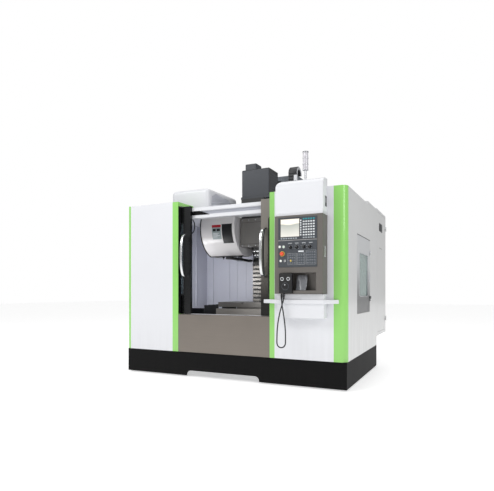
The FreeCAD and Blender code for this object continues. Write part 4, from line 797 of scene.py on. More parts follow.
KEPT = {"bed_casting": "casting_grey", "leveling_pads": "pad_rubber", "chip_pan": "way_steel",
        "front_panels": "machine_white", "corner_posts": "leaf_green", "side_panels": "side_white",
        "inner_walls": "lining_grey", "roof_panel": "machine_white", "display_glass": "screen_glass",
        "signal_tower": "pole_silver", "electrical_cabinet": "side_white", "arm_drive": "casting_grey",
        # head_casting in deep black is painted shade under the beam
        "saddle_guard": "guard_steel", "head_casting": "deep_black", "spindle": "screw_steel",
        "arm_shaft": "screw_steel", "left_door": "left_door_shaded_steel", "left_window": "tinted_pane",
        "right_door": "door_steel", "right_window": "tinted_pane", "side_door": "side_steel",
        "side_window": "side_pane", "cabinet_door": "side_white", "signal_lenses": "lens_milk"}
for node, look in KEPT.items():
    NODES[node].data.materials.clear()
    NODES[node].data.materials.append(FINISHES[look])


# ---------------------------------------------------------------- canopy and operator panel

def canopy():
    """Panel canopy: level sections lofted upwards.

    The front leans back on a quarter curve, and the left top is round.
    """
    low, high = corners("panel_canopy")
    bend, lean, round_corner = 1.915, 0.085, 0.062
    level = np.concatenate([[low[2], low[2] + 0.003], np.linspace(1.70, bend, 5),
                            np.linspace(bend, high[2], 17)[1:]])
    lift = np.clip((level - bend) / (high[2] - bend), 0, 1)
    front = low[1] + lean * (1 - np.sqrt(1 - lift ** 2 * 0.999))
    into = np.clip((level - (high[2] - round_corner)) / round_corner, 0, 1)
    left = low[0] + round_corner * (1 - np.sqrt(1 - into ** 2 * 0.999))
    edges = ((left, front), (high[0], front), (high[0], high[1]), (left, high[1]))
    loops = np.stack([at(x, y, level) for x, y in edges], 1)
    piece = put("panel_canopy_shell", loft(loops), "machine_white", "machine", bevel=0.004, sharp=40)
    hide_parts("panel_canopy")
    put("canopy_grip", blocks((1.1132, -1.112, 1.736), (1.1155, -1.062, 1.833)), "deep_black", "machine",
        bevel=0.0005)
    put("canopy_grip_tongue", blocks((1.1150, -1.100, 1.770), (1.1160, -1.088, 1.815)), "machine_white",
        "machine")


def numerals(name, marks, look, body):
    """Raised numerals that face the front: (text, x, z, height, plane y)."""
    shapes = []
    for text, x, z, height, plane in marks:
        data = bpy.data.curves.new("numeral", "FONT")
        data.body, data.size, data.extrude = text, height, 0.00015
        data.align_x, data.align_y = "CENTER", "CENTER"
        item = bpy.data.objects.new("numeral", data)
        SCENE.collection.objects.link(item)
        mesh = bpy.data.meshes.new_from_object(item.evaluated_get(bpy.context.evaluated_depsgraph_get()))
        flat = np.zeros(len(mesh.vertices) * 3)
        mesh.vertices.foreach_get("co", flat)
        flat = flat.reshape(-1, 3)
        points = np.column_stack([x + flat[:, 0], plane - flat[:, 2], z + flat[:, 1]])
        shapes.append((points, [list(face.vertices) for face in mesh.polygons]))
        bpy.data.objects.remove(item)
        bpy.data.meshes.remove(mesh)
        bpy.data.curves.remove(data)
    return put(name, together(*shapes), look, body)


def outline_frame(x0, x1, z0, z1, wide, plane, thick):
    """Four thin bars round a rectangle that faces the front."""
    near = plane - thick
    lows = [(x0, near, z0), (x0, near, z1 - wide), (x0, near, z0), (x1 - wide, near, z0)]
    highs = [(x1, plane, z0 + wide), (x1, plane, z1), (x0 + wide, plane, z1), (x1, plane, z1)]
    return blocks(lows, highs)


PANEL_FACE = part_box("panel_plates")[0][1]
KNOB_PLACES = {"mode_knob": 0.796, "feed_knob": 0.861, "spindle_knob": 0.931}
RAPID_PLACE = 0.989


def dial_marks(x, z, inner, outer, count=11, sweep=270, wide=0.0009):
    """Short bars set out on an arc round a knob, each a block turned about the knob's axis."""
    bars = blocks([(-wide / 2, -0.0005, inner)] * count, [(wide / 2, 0.0, outer)] * count)
    points = bars[0].reshape(count, 8, 3)
    angle = np.radians(np.linspace(-sweep / 2, sweep / 2, count))[:, None]
    across = points[..., 0] * np.cos(angle) + points[..., 2] * np.sin(angle)
    rise = -points[..., 0] * np.sin(angle) + points[..., 2] * np.cos(angle)
    turned_points = np.stack([across + x, points[..., 1] + PANEL_FACE, rise + z], -1)
    return turned_points.reshape(-1, 3), bars[1]


def fluted_knob(name, body, x, z, high, node=None):
    """Knob: a turned, fluted skirt and cap with a raised pointer."""
    face = PANEL_FACE - 0.0004
    skirt = turned([(0.0165, 0.0), (0.0168, 0.002), (0.0155, 0.005), (0.0142, high - 0.003),
                    (0.0128, high - 0.0006), (0.0100, high)], (x, face, z), "-y", 72, 12, 0.028)
    piece = put(name + "_cap", skirt, "knob_black", body)
    top = face - high
    pointer = blocks((x - 0.0008, top - 0.0002, z + 0.001), (x + 0.0008, top + 0.001, z + 0.010))
    put(name + "_pointer", pointer, "legend_white", body)
    if node:
        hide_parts(node)


def knob_row():
    """The three turning knobs, the fixed one beside them, and the marks on their dials."""
    low, high = corners("mode_knob")
    tall, level = high[1] - low[1] - 0.0006, (low[2] + high[2]) / 2
    for name, x in KNOB_PLACES.items():
        fluted_knob(name, name, x, level, tall, name)
    fluted_knob("rapid_knob", "machine", RAPID_PLACE, level, tall)
    marks = [dial_marks(x, level, 0.0195, 0.0235) for x in (*KNOB_PLACES.values(), RAPID_PLACE)]
    marks.append(dial_marks(KNOB_PLACES["feed_knob"], level, 0.0245, 0.0262, 31))
    put("dial_marks", together(*marks), "legend_white", "machine")


def stop_button():
    """Emergency stop: a fluted mushroom on its shaft, inside a yellow collar that it slides into."""
    stop = (0.714, PANEL_FACE, 1.296)
    reach = PANEL_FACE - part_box("estop_button")[0][1]
    cap = turned([(0.0099, 0.0066), (0.0175, 0.0068), (0.0197, 0.0085), (0.0199, 0.0135), (0.0185, 0.0185),
                  (0.0150, 0.0222), (0.0095, reach - 0.0015), (0.004, reach)], stop, "-y", 40, 10, 0.012)
    shaft = turned([(0.0098, 0.0064), (0.0098, 0.012)], stop, "-y", 24)
    piece = put("stop_mushroom", together(cap, shaft), "stop_red", "estop_button")
    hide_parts("estop_button")
    ring = turned([(0.0245, 0.0), (0.0245, 0.0016), (0.0235, 0.0024), (0.0210, 0.0024), (0.0207, 0.0018),
                   (0.0207, -0.0002)], stop, "-y", 36)
    put("stop_collar", ring, "button_yellow", "machine")


def panel_controls():
    """Start button, the two power buttons and the key lock, each turned, with a bright bush round it."""
    start = (0.700, PANEL_FACE, 1.229)
    cap = turned([(0.0059, 0.0032), (0.0104, 0.0034), (0.0109, 0.0045), (0.0108, 0.0070), (0.0095, 0.0086),
                  (0.004, 0.0090)], start, "-y", 32)
    piece = put("start_cap", cap, "button_white", "cycle_button")
    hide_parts("cycle_button")
    bush = [(0.0125, 0.0), (0.0135, 0.0018), (0.0128, 0.0030), (0.0114, 0.0030), (0.0114, -0.0002)]
    put("start_bush", turned(bush, start, "-y", 32), "handle_silver", "machine")
    cap = [(0.0105, 0.0), (0.0108, 0.004), (0.0098, 0.0062), (0.004, 0.0068)]
    bush = [(0.0155, 0.0), (0.0160, 0.0016), (0.0150, 0.0034), (0.0112, 0.0034), (0.0110, 0.0)]
    for name, x, z, look in (("power_on", 0.689, 1.364, "button_white"),
                             ("power_off", 0.730, 1.362, "button_green")):
        spot = (x, PANEL_FACE, z)
        put(name + "_cap", turned(cap, spot, "-y", 32), look, "machine")
        put(name + "_bush", turned(bush, spot, "-y", 32), "handle_silver", "machine")
    lock = [(0.0105, 0.0), (0.0110, 0.0030), (0.0090, 0.0050), (0.0062, 0.0052), (0.0060, 0.0040)]
    put("key_lock", turned(lock, (0.740, PANEL_FACE, 1.228), "-y", 32), "handle_silver", "machine")
    put("key_lock_slot", blocks((0.7388, PANEL_FACE - 0.0046, 1.2235), (0.7412, PANEL_FACE - 0.0036, 1.2325)),
        "knob_black", "machine")


def key_field(x0, z0, columns, rows, step_x, step_z, wide, high):
    """Low corners and high corners of a field of flat keys."""
    x, z = np.meshgrid(x0 + step_x * np.arange(columns), z0 + step_z * np.arange(rows), indexing="ij")
    low = at(x.ravel(), PANEL_FACE - 0.0016, z.ravel())
    return low, low + np.array([wide, 0.0018, high])


def key_fields():
    """Flat key fields of the switch plate with pale lamps; one key is yellow."""
    foot, rise, wide, high = 1.196, 0.0245, 0.0135, 0.0165
    fields = [key_field(0.776, foot, 4, 4, 0.0185, rise, wide, high),
              key_field(0.866, foot, 4, 4, 0.0185, rise, wide, high),
              key_field(0.957, foot, 5, 5, 0.0182, rise, wide, high)]
    low, high = np.vstack([f[0] for f in fields]), np.vstack([f[1] for f in fields])
    yellow = (np.abs(low[:, 0] - 0.7945) < 0.002) & (np.abs(low[:, 2] - 1.2205) < 0.003)
    put("switch_keys", blocks(low[~yellow], high[~yellow]), "key_grey", "machine", bevel=0.0006)
    put("switch_key_yellow", blocks(low[yellow], high[yellow]), "button_yellow", "machine", bevel=0.0006)
    lamp_low = low + np.array([0.0045, -0.0003, 0.0125])
    put("switch_key_lamps", blocks(lamp_low, lamp_low + np.array([0.0045, 0.001, 0.002])), "legend_white",
        "machine")


def plate_legends():
    """Outlines round the key fields, blank title bars, the strip between the plates and the screen's rim."""
    frames = [outline_frame(0.862, 0.941, 1.190, 1.298, 0.0010, PANEL_FACE, 0.0005),
              outline_frame(0.770, 0.853, 1.190, 1.298, 0.0008, PANEL_FACE, 0.0005),
              outline_frame(0.952, 1.050, 1.190, 1.322, 0.0008, PANEL_FACE, 0.0005),
              blocks([(0.876, PANEL_FACE - 0.0012, 1.309)], [(0.930, PANEL_FACE, 1.321)]),
              blocks([(0.776 + k * 0.068, PANEL_FACE - 0.0005, 1.392) for k in range(4)],
                     [(0.812 + k * 0.068, PANEL_FACE, 1.3955) for k in range(4)])]
    put("switch_legends", together(*frames), "legend_white", "machine")
    put("plate_parting", blocks((0.673, PANEL_FACE + 0.0005, 1.4195), (1.057, PANEL_FACE + 0.006, 1.4255)),
        "handle_silver", "machine")
    low, high = corners("display_glass")
    rim = outline_frame(low[0] - 0.008, high[0] + 0.008, low[2] - 0.004, high[2] + 0.008, 0.006, PANEL_FACE,
                        0.0032)
    put("screen_bezel", rim, "screen_rim", "machine", bevel=0.001)


def soft_keys():
    """The column of seven keys to the right of the screen."""
    field = key_field(0.8955, 1.462, 1, 7, 0.0, 0.0225, 0.011, 0.0145)
    put("soft_keys", blocks(*field), "legend_white", "machine", bevel=0.0006)


def plate_numerals():
    """Plain numerals: ten on the upper keys, and six round the spindle knob, one every 44 degrees."""
    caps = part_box("panel_keys")[0][1]
    marks = [(digit, 0.9305 + 0.0245 * (k % 3), 1.5925 - 0.025 * (k // 3), 0.0085, caps - 0.0001)
             for k, digit in enumerate("7894561230")]
    numerals("key_numerals", marks, "knob_black", "machine")
    x, z, radius, size, plane = KNOB_PLACES["spindle_knob"], 1.356, 0.029, 0.006, PANEL_FACE - 0.0003
    turns = [math.radians(-110 + 44 * k) for k in range(6)]
    marks = [(str(10 * k), x + radius * math.sin(turn), z + radius * math.cos(turn), size, plane)
             for k, turn in enumerate(turns)]
    numerals("dial_numerals", marks, "legend_white", "machine")


def hand_wheel():
    """The pendant's hand wheel: a fluted disc, its dimple, and a scale ring on the housing."""
    low, high = corners("mpg_wheel")
    spot = np.array([(low[0] + high[0]) / 2, high[1], (low[2] + high[2]) / 2])
    thick, radius = high[1] - low[1], (high[0] - low[0]) / 2
    disc = turned([(radius - 0.004, 0.0003), (radius - 0.0003, 0.002), (radius - 0.0003, thick - 0.003),
                   (radius - 0.003, thick - 0.0006), (0.021, thick), (0.019, thick - 0.0022),
                   (0.011, thick - 0.0026), (0.009, thick - 0.0008), (0.003, thick - 0.0004)],
                  spot, "-y", 80, 20, 0.008)
    piece = put("hand_wheel_disc", disc, "knob_black", "mpg_wheel")
    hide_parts("mpg_wheel")
    grip = turned([(0.0062, thick - 0.003), (0.0062, thick - 0.0007), (0.005, thick - 0.0001)],
                  spot + np.array([0.0, 0, 0.0148]), "-y", 24)
    put("hand_wheel_dimple", grip, "chain_grey", "mpg_wheel")
    scale = turned([(0.0375, -0.0001), (0.0375, 0.0012), (0.0355, 0.0018), (0.031, 0.0018), (0.031, 0.0)],
                   (spot[0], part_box("mpg_housing")[0][1], spot[2]), "-y", 48)
    put("hand_wheel_scale", scale, "plate_slate", "machine")


def pendant_parts():
    """Pendant: two range knobs on pale plates, their numerals, and grip ribs down both sides."""
    low, high = corners("mpg_housing")
    face = low[1]
    plate = [(0.0170, 0.0), (0.0170, 0.0008), (0.0162, 0.0012), (0.009, 0.0012)]
    knob = [(0.0110, 0.001), (0.0112, 0.003), (0.0100, 0.0090), (0.0080, 0.0098), (0.003, 0.0100)]
    for name, x in (("axis_range", 0.7250), ("step_range", 0.7870)):
        centre = (x, face, 1.0560)
        put(name + "_plate", turned(plate, centre, "-y", 40), "legend_white", "machine")
        put(name + "_knob", turned(knob, centre, "-y", 48, 8, 0.04), "knob_black", "machine")
    marks = [(text, x, z, size, face - 0.0013)
             for text, x, z, size in (("1", 0.7095, 1.0660, 0.006), ("2", 0.7255, 1.0722, 0.006),
                                      ("3", 0.7405, 1.0660, 0.006), ("1", 0.7715, 1.0660, 0.006),
                                      ("10", 0.7870, 1.0722, 0.006), ("100", 0.8030, 1.0645, 0.0045))]
    numerals("pendant_numerals", marks, "knob_black", "machine")
    sides = ((low[0] - 0.0012, low[0] + 0.001), (high[0] - 0.001, high[0] + 0.0012))
    levels = np.arange(0.945, 1.03, 0.010)
    put("pendant_side_grips", blocks([(x0, low[1] + 0.010, z) for x0, _ in sides for z in levels],
                                     [(x1, high[1] - 0.008, z + 0.004) for _, x1 in sides for z in levels]),
        "trim_rubber", "machine")


def paper_pouch():
    """Clear pouch in the panel's pocket: a bent sheet, x = edge + wave(height), leaning back as it rises."""
    across, rise = np.meshgrid(np.linspace(0, 1, 15), np.linspace(0, 1, 19), indexing="ij")
    x = 0.838 + 0.098 * across + 0.010 * np.sin(3.0 * rise) * (across - 0.3)
    bulge, ripple = np.sin(math.pi * across) * (1 - 0.4 * rise), np.sin(7 * across + 4 * rise)
    y = -1.158 + 0.055 * rise - 0.010 * bulge + 0.004 * ripple
    z = 0.9475 + 0.150 * rise - 0.004 * across
    piece = put("paper_pouch", strip(np.stack([x, y, z], -1)), "pouch_clear", "machine", outward=False)
    wall = piece.modifiers.new("sheet_thickness", "SOLIDIFY")
    wall.thickness, wall.offset = 0.0012, 0.0


def raised_plate(outline, centre, steps):
    """A plate that faces the right: each (rise, share) is the outline times the share, raised by the rise."""
    x, y, z = centre
    return loft(np.stack([at(x + rise, y + outline[:, 0] * share, z + outline[:, 1] * share)
                          for rise, share in steps]))


def housing_grip():
    """Long oval grip plate on the housing's right flank: a stadium outline with a raised rim."""
    centre = (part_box("panel_housing")[1][0], -1.1145, 1.310)
    steps = ((0.0, 1.0), (0.0022, 0.98), (0.0030, 0.84), (0.0018, 0.72))
    put("housing_grip_plate", raised_plate(rounded(0.026, 0.106, 0.0125, 8), centre, steps), "handle_silver",
        "machine")


canopy()
knob_row()
stop_button()
panel_controls()
key_fields()
plate_legends()
soft_keys()
plate_numerals()
hand_wheel()
pendant_parts()
paper_pouch()
housing_grip()


# ---------------------------------------------------------------- magazine, arm and head

DRUM_AXIS = np.array([-0.0735, 1.722])
DRUM_ROUND = 0.345


def drum_plate(name, x0, x1, z0, z1, proud, look):
    """A plate bent round the drum: points at radius * (cos, sin) of the angle for each height."""
    angle = np.arcsin((np.linspace(z0, z1, 17) - DRUM_AXIS[1]) / DRUM_ROUND)
    loops = [at(x, DRUM_AXIS[0] - radius * np.cos(angle), DRUM_AXIS[1] + radius * np.sin(angle))
             for x, radius in ((x0, DRUM_ROUND - 0.001), (x1, DRUM_ROUND - 0.001), (x1, DRUM_ROUND + proud),
                               (x0, DRUM_ROUND + proud))]
    put(name, loft(np.stack(loops, 1)), look, "machine")


def drum_label():
    """A plain label on the drum cover: two fields, two dark blocks and four blank bars."""
    left, right = -0.524, -0.398
    drum_plate("drum_label_field", left, right, 1.580, 1.723, 0.0010, "label_grey")
    drum_plate("drum_label_band", left, right, 1.723, 1.754, 0.0012, "label_red")
    for k, (x0, x1, z0, z1) in enumerate(((-0.512, -0.470, 1.676, 1.706), (-0.456, -0.410, 1.676, 1.706),
                                          (-0.512, -0.430, 1.648, 1.654), (-0.512, -0.445, 1.634, 1.640),
                                          (-0.512, -0.420, 1.620, 1.626), (-0.512, -0.455, 1.606, 1.612))):
        drum_plate(f"drum_label_bar_{k}", x0, x1, z0, z1, 0.0016, "deep_black" if k < 2 else "legend_white")


def drum_dress():
    """Dark window with its rims, the edge trim and the small fittings below the drum cover."""
    drum_plate("drum_window_pane", -0.386, -0.246, 1.535, 1.754, 0.0012, "deep_black")
    drum_plate("drum_window_rim_top", -0.390, -0.242, 1.754, 1.758, 0.0026, "trim_rubber")
    drum_plate("drum_window_rim_foot", -0.390, -0.242, 1.531, 1.535, 0.0026, "trim_rubber")
    low, high = corners("magazine_cover")
    radius = DRUM_ROUND + 0.003
    angle = np.arcsin(np.linspace(high[2] - 0.012 - DRUM_AXIS[1], low[2] + 0.004 - DRUM_AXIS[1], 40) / radius)
    rim = at(low[0] - 0.001, DRUM_AXIS[0] - radius * np.cos(angle), DRUM_AXIS[1] + radius * np.sin(angle))
    foot = at(np.linspace(low[0] + 0.006, high[0] - 0.002, 24), rim[-1, 1], low[2] - 0.001)
    put("drum_edge_trim", carried(circle(0.0065, 10), np.vstack([rim, foot]), (0.3, -1, 0.2)), "trim_rubber",
        "machine")
    body = turned([(0.013, 0.002), (0.015, -0.004), (0.015, -0.016), (0.009, -0.019)], ORIGIN, "z", 20)
    fitting = together(body, turned([(0.008, -0.018), (0.0085, -0.030), (0.006, -0.034)], ORIGIN, "z", 6))
    spots = [(x, rim[-1, 1] + 0.010, low[2] - 0.003) for x in (-0.500, -0.452, -0.405, -0.250)]
    put("drum_latch_fittings", copies(fitting, spots), "trim_rubber", "machine")


def tool_pots():
    """Twelve turned tool sockets on the magazine disc, each with a stepped lip and a bright tool end."""
    low, high = corners("magazine_disc")
    axis, face = (DRUM_AXIS[0], 1.640), high[0] - 0.028
    outline = [(0.0255, 0.0), (0.0305, 0.001), (0.0315, 0.004), (0.0315, 0.016), (0.0285, 0.019),
               (0.0285, 0.074), (0.0312, 0.078), (0.0312, 0.100)]
    cone = [(0.0215, -0.0002), (0.0215, 0.0004), (0.008, 0.0006), (0.008, -0.0035), (0.0055, -0.005)]
    angles = np.radians(30.0 * np.arange(12))
    spots = at(low[0], axis[0] + 0.150 * np.sin(angles), axis[1] + 0.150 * np.cos(angles))
    disc = turned([(0.060, 0.0), (0.190, 0.001), (0.1945, 0.004), (0.1945, 0.024), (0.190, 0.0278),
                   (0.0212, 0.0278), (0.0212, 0.0)], (face, *axis), "x", 72, 12, 0.004)
    pots = copies(turned(outline, ORIGIN, "x", 28), spots)
    piece = put("magazine_pots", together(disc, pots), "deep_black", "magazine")
    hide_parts("magazine_disc")
    put("magazine_tool_ends", copies(turned(cone, ORIGIN, "x", 24), spots), "screw_steel", "magazine")
    bolt = turned([(0.006, -0.0005), (0.006, 0.004), (0.003, 0.0045)], ORIGIN, "-x", 6)
    spots = at(face, axis[0] + 0.045 * np.sin(angles[::2]), axis[1] + 0.045 * np.cos(angles[::2]))
    put("magazine_hub_bolts", copies(bolt, spots), "way_steel", "magazine")


def spindle_nose():
    """Bright rings and six coolant nozzles round the nose, and the spindle's two keys and eight screws."""
    x, y = -0.039, -0.0735
    ring = turned([(0.0868, 1.428), (0.0945, 1.430), (0.0958, 1.434), (0.0958, 1.444), (0.0945, 1.448),
                   (0.0895, 1.449)], (x, y, 0), "z", 56)
    lip = turned([(0.0560, 1.3868), (0.0790, 1.3852), (0.0806, 1.3885), (0.0812, 1.394), (0.0790, 1.395)],
                 (x, y, 0), "z", 56)
    put("nose_rings", together(ring, lip), "handle_silver", "head")
    nozzle = turned([(0.0075, 0.004), (0.0085, -0.003), (0.0085, -0.008), (0.0050, -0.013), (0.0032, -0.022),
                     (0.0022, -0.023)], ORIGIN, "z", 16)
    angles = np.radians(np.arange(6) * 60 + 30)
    spots = at(x + 0.0690 * np.cos(angles), y + 0.0690 * np.sin(angles), 1.384)
    put("coolant_nozzles", copies(nozzle, spots), "chain_plastic", "head")
    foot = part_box("spindle")[0][2]
    keys = blocks([(x - 0.008, y + side * 0.040 - 0.008, foot - 0.0075) for side in (-1, 1)],
                  [(x + 0.008, y + side * 0.040 + 0.008, foot + 0.001) for side in (-1, 1)])
    screw = turned([(0.0045, 0.0005), (0.0045, -0.003), (0.0025, -0.0034)], ORIGIN, "z", 12)
    angles = np.radians(np.arange(8) * 45 + 22.5)
    spots = at(x + 0.0505 * np.cos(angles), y + 0.0505 * np.sin(angles), foot)
    put("spindle_keys", together(keys, copies(screw, spots)), "handle_silver", "spindle", bevel=0.0006)


def motor_dress():
    """Spindle motor: its flange, a black sheet on its right side that paints that face's shade, cooling ribs
    and the rim at its top.
    """
    low, high = corners("spindle_motor")
    flange = blocks((low[0] - 0.006, low[1] - 0.016, low[2] + 0.001),
                    (high[0] + 0.016, high[1] + 0.012, low[2] + 0.030))
    put("motor_flange", flange, "motor_slate", "head", bevel=0.004)
    # painted shade: black sheet over the motor's right side face
    panel = blocks((high[0] - 0.001, low[1] + 0.006, low[2] + 0.032),
                   (high[0] + 0.0035, high[1] - 0.01, high[2] - 0.085))
    put("motor_side_painted_shade", panel, "deep_black", "head", bevel=0.001)
    z = 2.130 + 0.034 * np.arange(8)
    ribs = [blocks(at(x0, low[1] + 0.03, z), at(x1, high[1] - 0.03, z + 0.014))
            for x0, x1 in ((low[0] - 0.004, low[0] + 0.001), (high[0] - 0.001, high[0] + 0.004))]
    put("motor_ribs", together(*ribs), "motor_slate", "head", bevel=0.0015)
    inset, level = 0.006, 2.430
    rim = outline_top(low[0] + inset, high[0] - inset, low[1] + inset, high[1] - inset, level, 0.010, 0.004)
    put("motor_top_rim", rim, "deep_black", "head")


def head_dress():
    """Seams and screws of the head's cover, and the bracket that holds the chain's fixed end."""
    low, high = corners("head_cover")
    left, right, front, screws = low[0] + 0.012, high[0] - 0.012, low[1], 4
    levels = ((high[2] - 0.052, high[2] - 0.049), (low[2] + 0.030, low[2] + 0.033))
    put("head_cover_seams", blocks([(left, front - 0.0012, z0) for z0, _ in levels],
                                   [(right, front + 0.001, z1) for _, z1 in levels]), "deep_black", "head")
    x, z = np.meshgrid(np.linspace(low[0] + 0.025, high[0] - 0.025, screws),
                       (low[2] + 0.016, high[2] - 0.020))
    dome = turned([(0.0065, 0.0), (0.0065, 0.002), (0.0040, 0.0038), (0.0020, 0.0040)], ORIGIN, "-y", 12)
    put("head_cover_screws", copies(dome, at(x.ravel(), front, z.ravel())), "way_steel", "head")
    bracket = blocks([(0.262, 0.352, 2.395), (0.262, 0.352, 2.395)],
                     [(0.306, 0.360, 2.470), (0.268, 0.366, 2.470)])
    put("chain_bracket", bracket, "machine_white", "machine", bevel=0.002)


def outline_top(x0, x1, y0, y1, level, wide, thick):
    """Four thin bars round a rectangle that faces up."""
    top = level + thick
    lows = [(x0, y0, level), (x0, y1 - wide, level), (x0, y0, level), (x1 - wide, y0, level)]
    highs = [(x1, y0 + wide, top), (x1, y1, top), (x0 + wide, y1, top), (x1, y1, top)]
    return blocks(lows, highs)


drum_label()
drum_dress()
tool_pots()
spindle_nose()
motor_dress()
head_dress()


# ---------------------------------------------------------------- ball screws

def ball_screw(axis):
    """Ball screw on a grid of angle and distance.

    The surface stands at radius - groove * ((1 + cos(angle - turn * distance)) / 2) ** 1.5, and the groove
    runs out near both ends.
    """
    node = axis + "_screw"
    low, high = corners(node)
    along = "xyz".index(axis)
    first, second = [k for k in range(3) if k != along]
    centre, radius = (low + high) / 2, (high - low)[first] / 2
    lead, per, groove, run_out = 0.016, 7, 0.0032, 0.05
    length = high[along] - low[along]
    distance = np.linspace(0, length, int(length / lead * per) + 1)
    angle = np.linspace(0, 2 * math.pi, 20, endpoint=False)
    ends = np.clip(np.minimum(distance, length - distance) / run_out - 0.2, 0, 1)
    wave = (1 + np.cos(angle[None] - 2 * math.pi * distance[:, None] / lead)) / 2
    r = radius * 0.995 - groove * wave ** 1.5 * ends[:, None]
    grid = np.zeros((len(distance), len(angle), 3))
    grid[..., along] = low[along] + distance[:, None]
    grid[..., first] = centre[first] + r * np.cos(angle)[None]
    grid[..., second] = centre[second] + r * np.sin(angle)[None]
    piece = put(node + "_thread", loft(grid), "screw_steel", node, sharp=80)
    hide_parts(node)


for axis in "xyz":
    ball_screw(axis)


# ---------------------------------------------------------------- enclosure details

def header_dress():
    """Painted shade in the header's groove, a grey copy of the white paint, and dark sloping shapes at the
    header's left end, along the return and under the hood, which paint the shadow there.
    """
    low, high = corners("door_header")
    face = -0.9215
    # painted shade in the groove
    groove = blocks((low[0] + 0.002, face + 0.0085, 1.797), (high[0] - 0.002, face + 0.0110, 1.831))
    put("header_groove", groove, "groove_shaded_white", "machine")
    # painted shadow: black shapes at the header's left end, along the return and under the hood
    slope = np.array([[-0.600, 1.794], [-0.249, 1.789], [-0.483, 1.872], [-0.600, 1.872]])
    put("header_painted_shadow", prism(slope, "y", (face - 0.002, face + 0.001)), "plinth_black", "machine")
    put("return_painted_shadow", blocks((-0.598, -0.936, 1.8745), (-0.5922, -0.7345, 1.8965)), "plinth_black",
        "machine")
    slope = np.array([[-0.592, 1.858], [-0.430, 1.858], [-0.592, 1.914]])
    put("hood_painted_shadow", prism(slope, "y", (-0.7360, -0.7330)), "plinth_black", "machine")


def left_bay_dress():
    """A black sheet inside the left post that paints the shade there, a low guard in the left bay, and a
    small hose below the header.
    """
    # painted shade: black sheet on the left post's inner face
    put("post_painted_shade", blocks((-0.5931, -1.029, 0.692), (-0.5921, -0.984, 1.890)), "deep_black", "machine")
    put("bay_guard", blocks((-1.080, -0.720, 0.340), (-0.450, -0.715, 0.742)), "deep_black", "machine",
        bevel=0.001)
    depth, count, rounds = -0.7335, 50, 12
    loop = np.array([[-0.604, 1.802], [-0.597, 1.782], [-0.575, 1.747], [-0.567, 1.693], [-0.581, 1.641],
                     [-0.610, 1.615], [-0.640, 1.606], [-0.680, 1.606]])
    turn, fine = np.arange(len(loop)), np.linspace(0, len(loop) - 1, count)
    path = at(np.interp(fine, turn, loop[:, 0]), depth, np.interp(fine, turn, loop[:, 1]))
    for _ in range(rounds):
        path[1:-1] = (path[:-2] + 2 * path[1:-1] + path[2:]) / 4
    rail = at(np.linspace(-0.760, -0.480, 4), depth, 1.803)
    facing = (0, 1, 0)
    hose = together(carried(circle(0.006, 10), path, facing), carried(circle(0.008, 10), rail, facing))
    put("bay_hose", hose, "trim_rubber", "machine")


def wall_folds():
    """Folded ribs of the inner lining: flat-topped outlines carried up the walls."""
    low, high = corners("inner_walls")
    back, levels = high[1] - 0.004, (low[2] + 0.002, high[2] - 0.004)
    shapes = []
    for x0, x1, proud in ((-1.084, -0.990, 0.014), (-0.732, -0.726, 0.006), (-0.604, -0.600, 0.004),
                          (-0.470, -0.466, 0.004), (0.480, 0.560, 0.014), (0.760, 0.764, 0.004)):
        top = x1 - proud * 0.6 if x1 - x0 > 0.02 else x1
        fold = np.array([[x0, back + 0.001], [x0 + proud * 0.6, back - proud], [top, back - proud],
                         [x1, back + 0.001]])
        shapes.append(prism(fold, "z", levels))
    for y0 in (-0.62, -0.25, 0.12):
        for x, way in ((low[0] + 0.004, 1), (high[0] - 0.004, -1)):
            foot, crest = x - way * 0.001, x + way * 0.008
            fold = np.array([[foot, y0], [crest, y0 + 0.006], [crest, y0 + 0.024], [foot, y0 + 0.030]])
            shapes.append(prism(fold, "z", levels))
    put("lining_folds", together(*shapes), "lining_grey", "machine")


DOME = [(0.0085, 0.0), (0.0085, 0.0015), (0.0070, 0.0032), (0.0036, 0.0036), (0.0034, 0.0020)]


def panel_screws():
    """Button-head screws along the edges of the left side, the roof, the back and the cabinet's back."""
    z, y = np.meshgrid(np.linspace(0.31, 1.90, 7), (-0.945, 0.495))
    shapes = [copies(turned(DOME, ORIGIN, "-x", 12), at(-1.296, y.ravel(), z.ravel()))]
    x, y = np.meshgrid(np.linspace(-1.25, 1.25, 9), (-0.82, 0.49))
    x, y = x.ravel(), y.ravel()
    column, hood = (np.abs(x) < 0.42) & (y > 0), (x > -0.93) & (x < -0.36) & (y > -0.75)
    shapes.append(copies(turned(DOME, ORIGIN, "z", 12), at(x, y, 1.8538)[~column & ~hood]))
    rear = turned(DOME, ORIGIN, "y", 12)
    for across, depth, levels in (((-1.26, -0.82, -0.38), 0.5298, (0.31, 1.90)),
                                  ((0.52, 1.26), 1.2298, (0.42, 1.93))):
        x, z = np.meshgrid(across, np.linspace(*levels, 6))
        shapes.append(copies(rear, at(x.ravel(), depth, z.ravel())))
    put("panel_screws", together(*shapes), "way_steel", "machine")


def apron_hem():
    """Folded hem along the apron's top: a thin round bead carried along its front edge."""
    low, high = corners("front_apron")
    hem = at(np.linspace(low[0] + 0.001, high[0] - 0.001, 3), low[1] + 0.0045, high[2] - 0.0035)
    put("apron_hem", carried(circle(0.0042, 12), hem, (0, 0, 1)), "handle_silver", "machine")


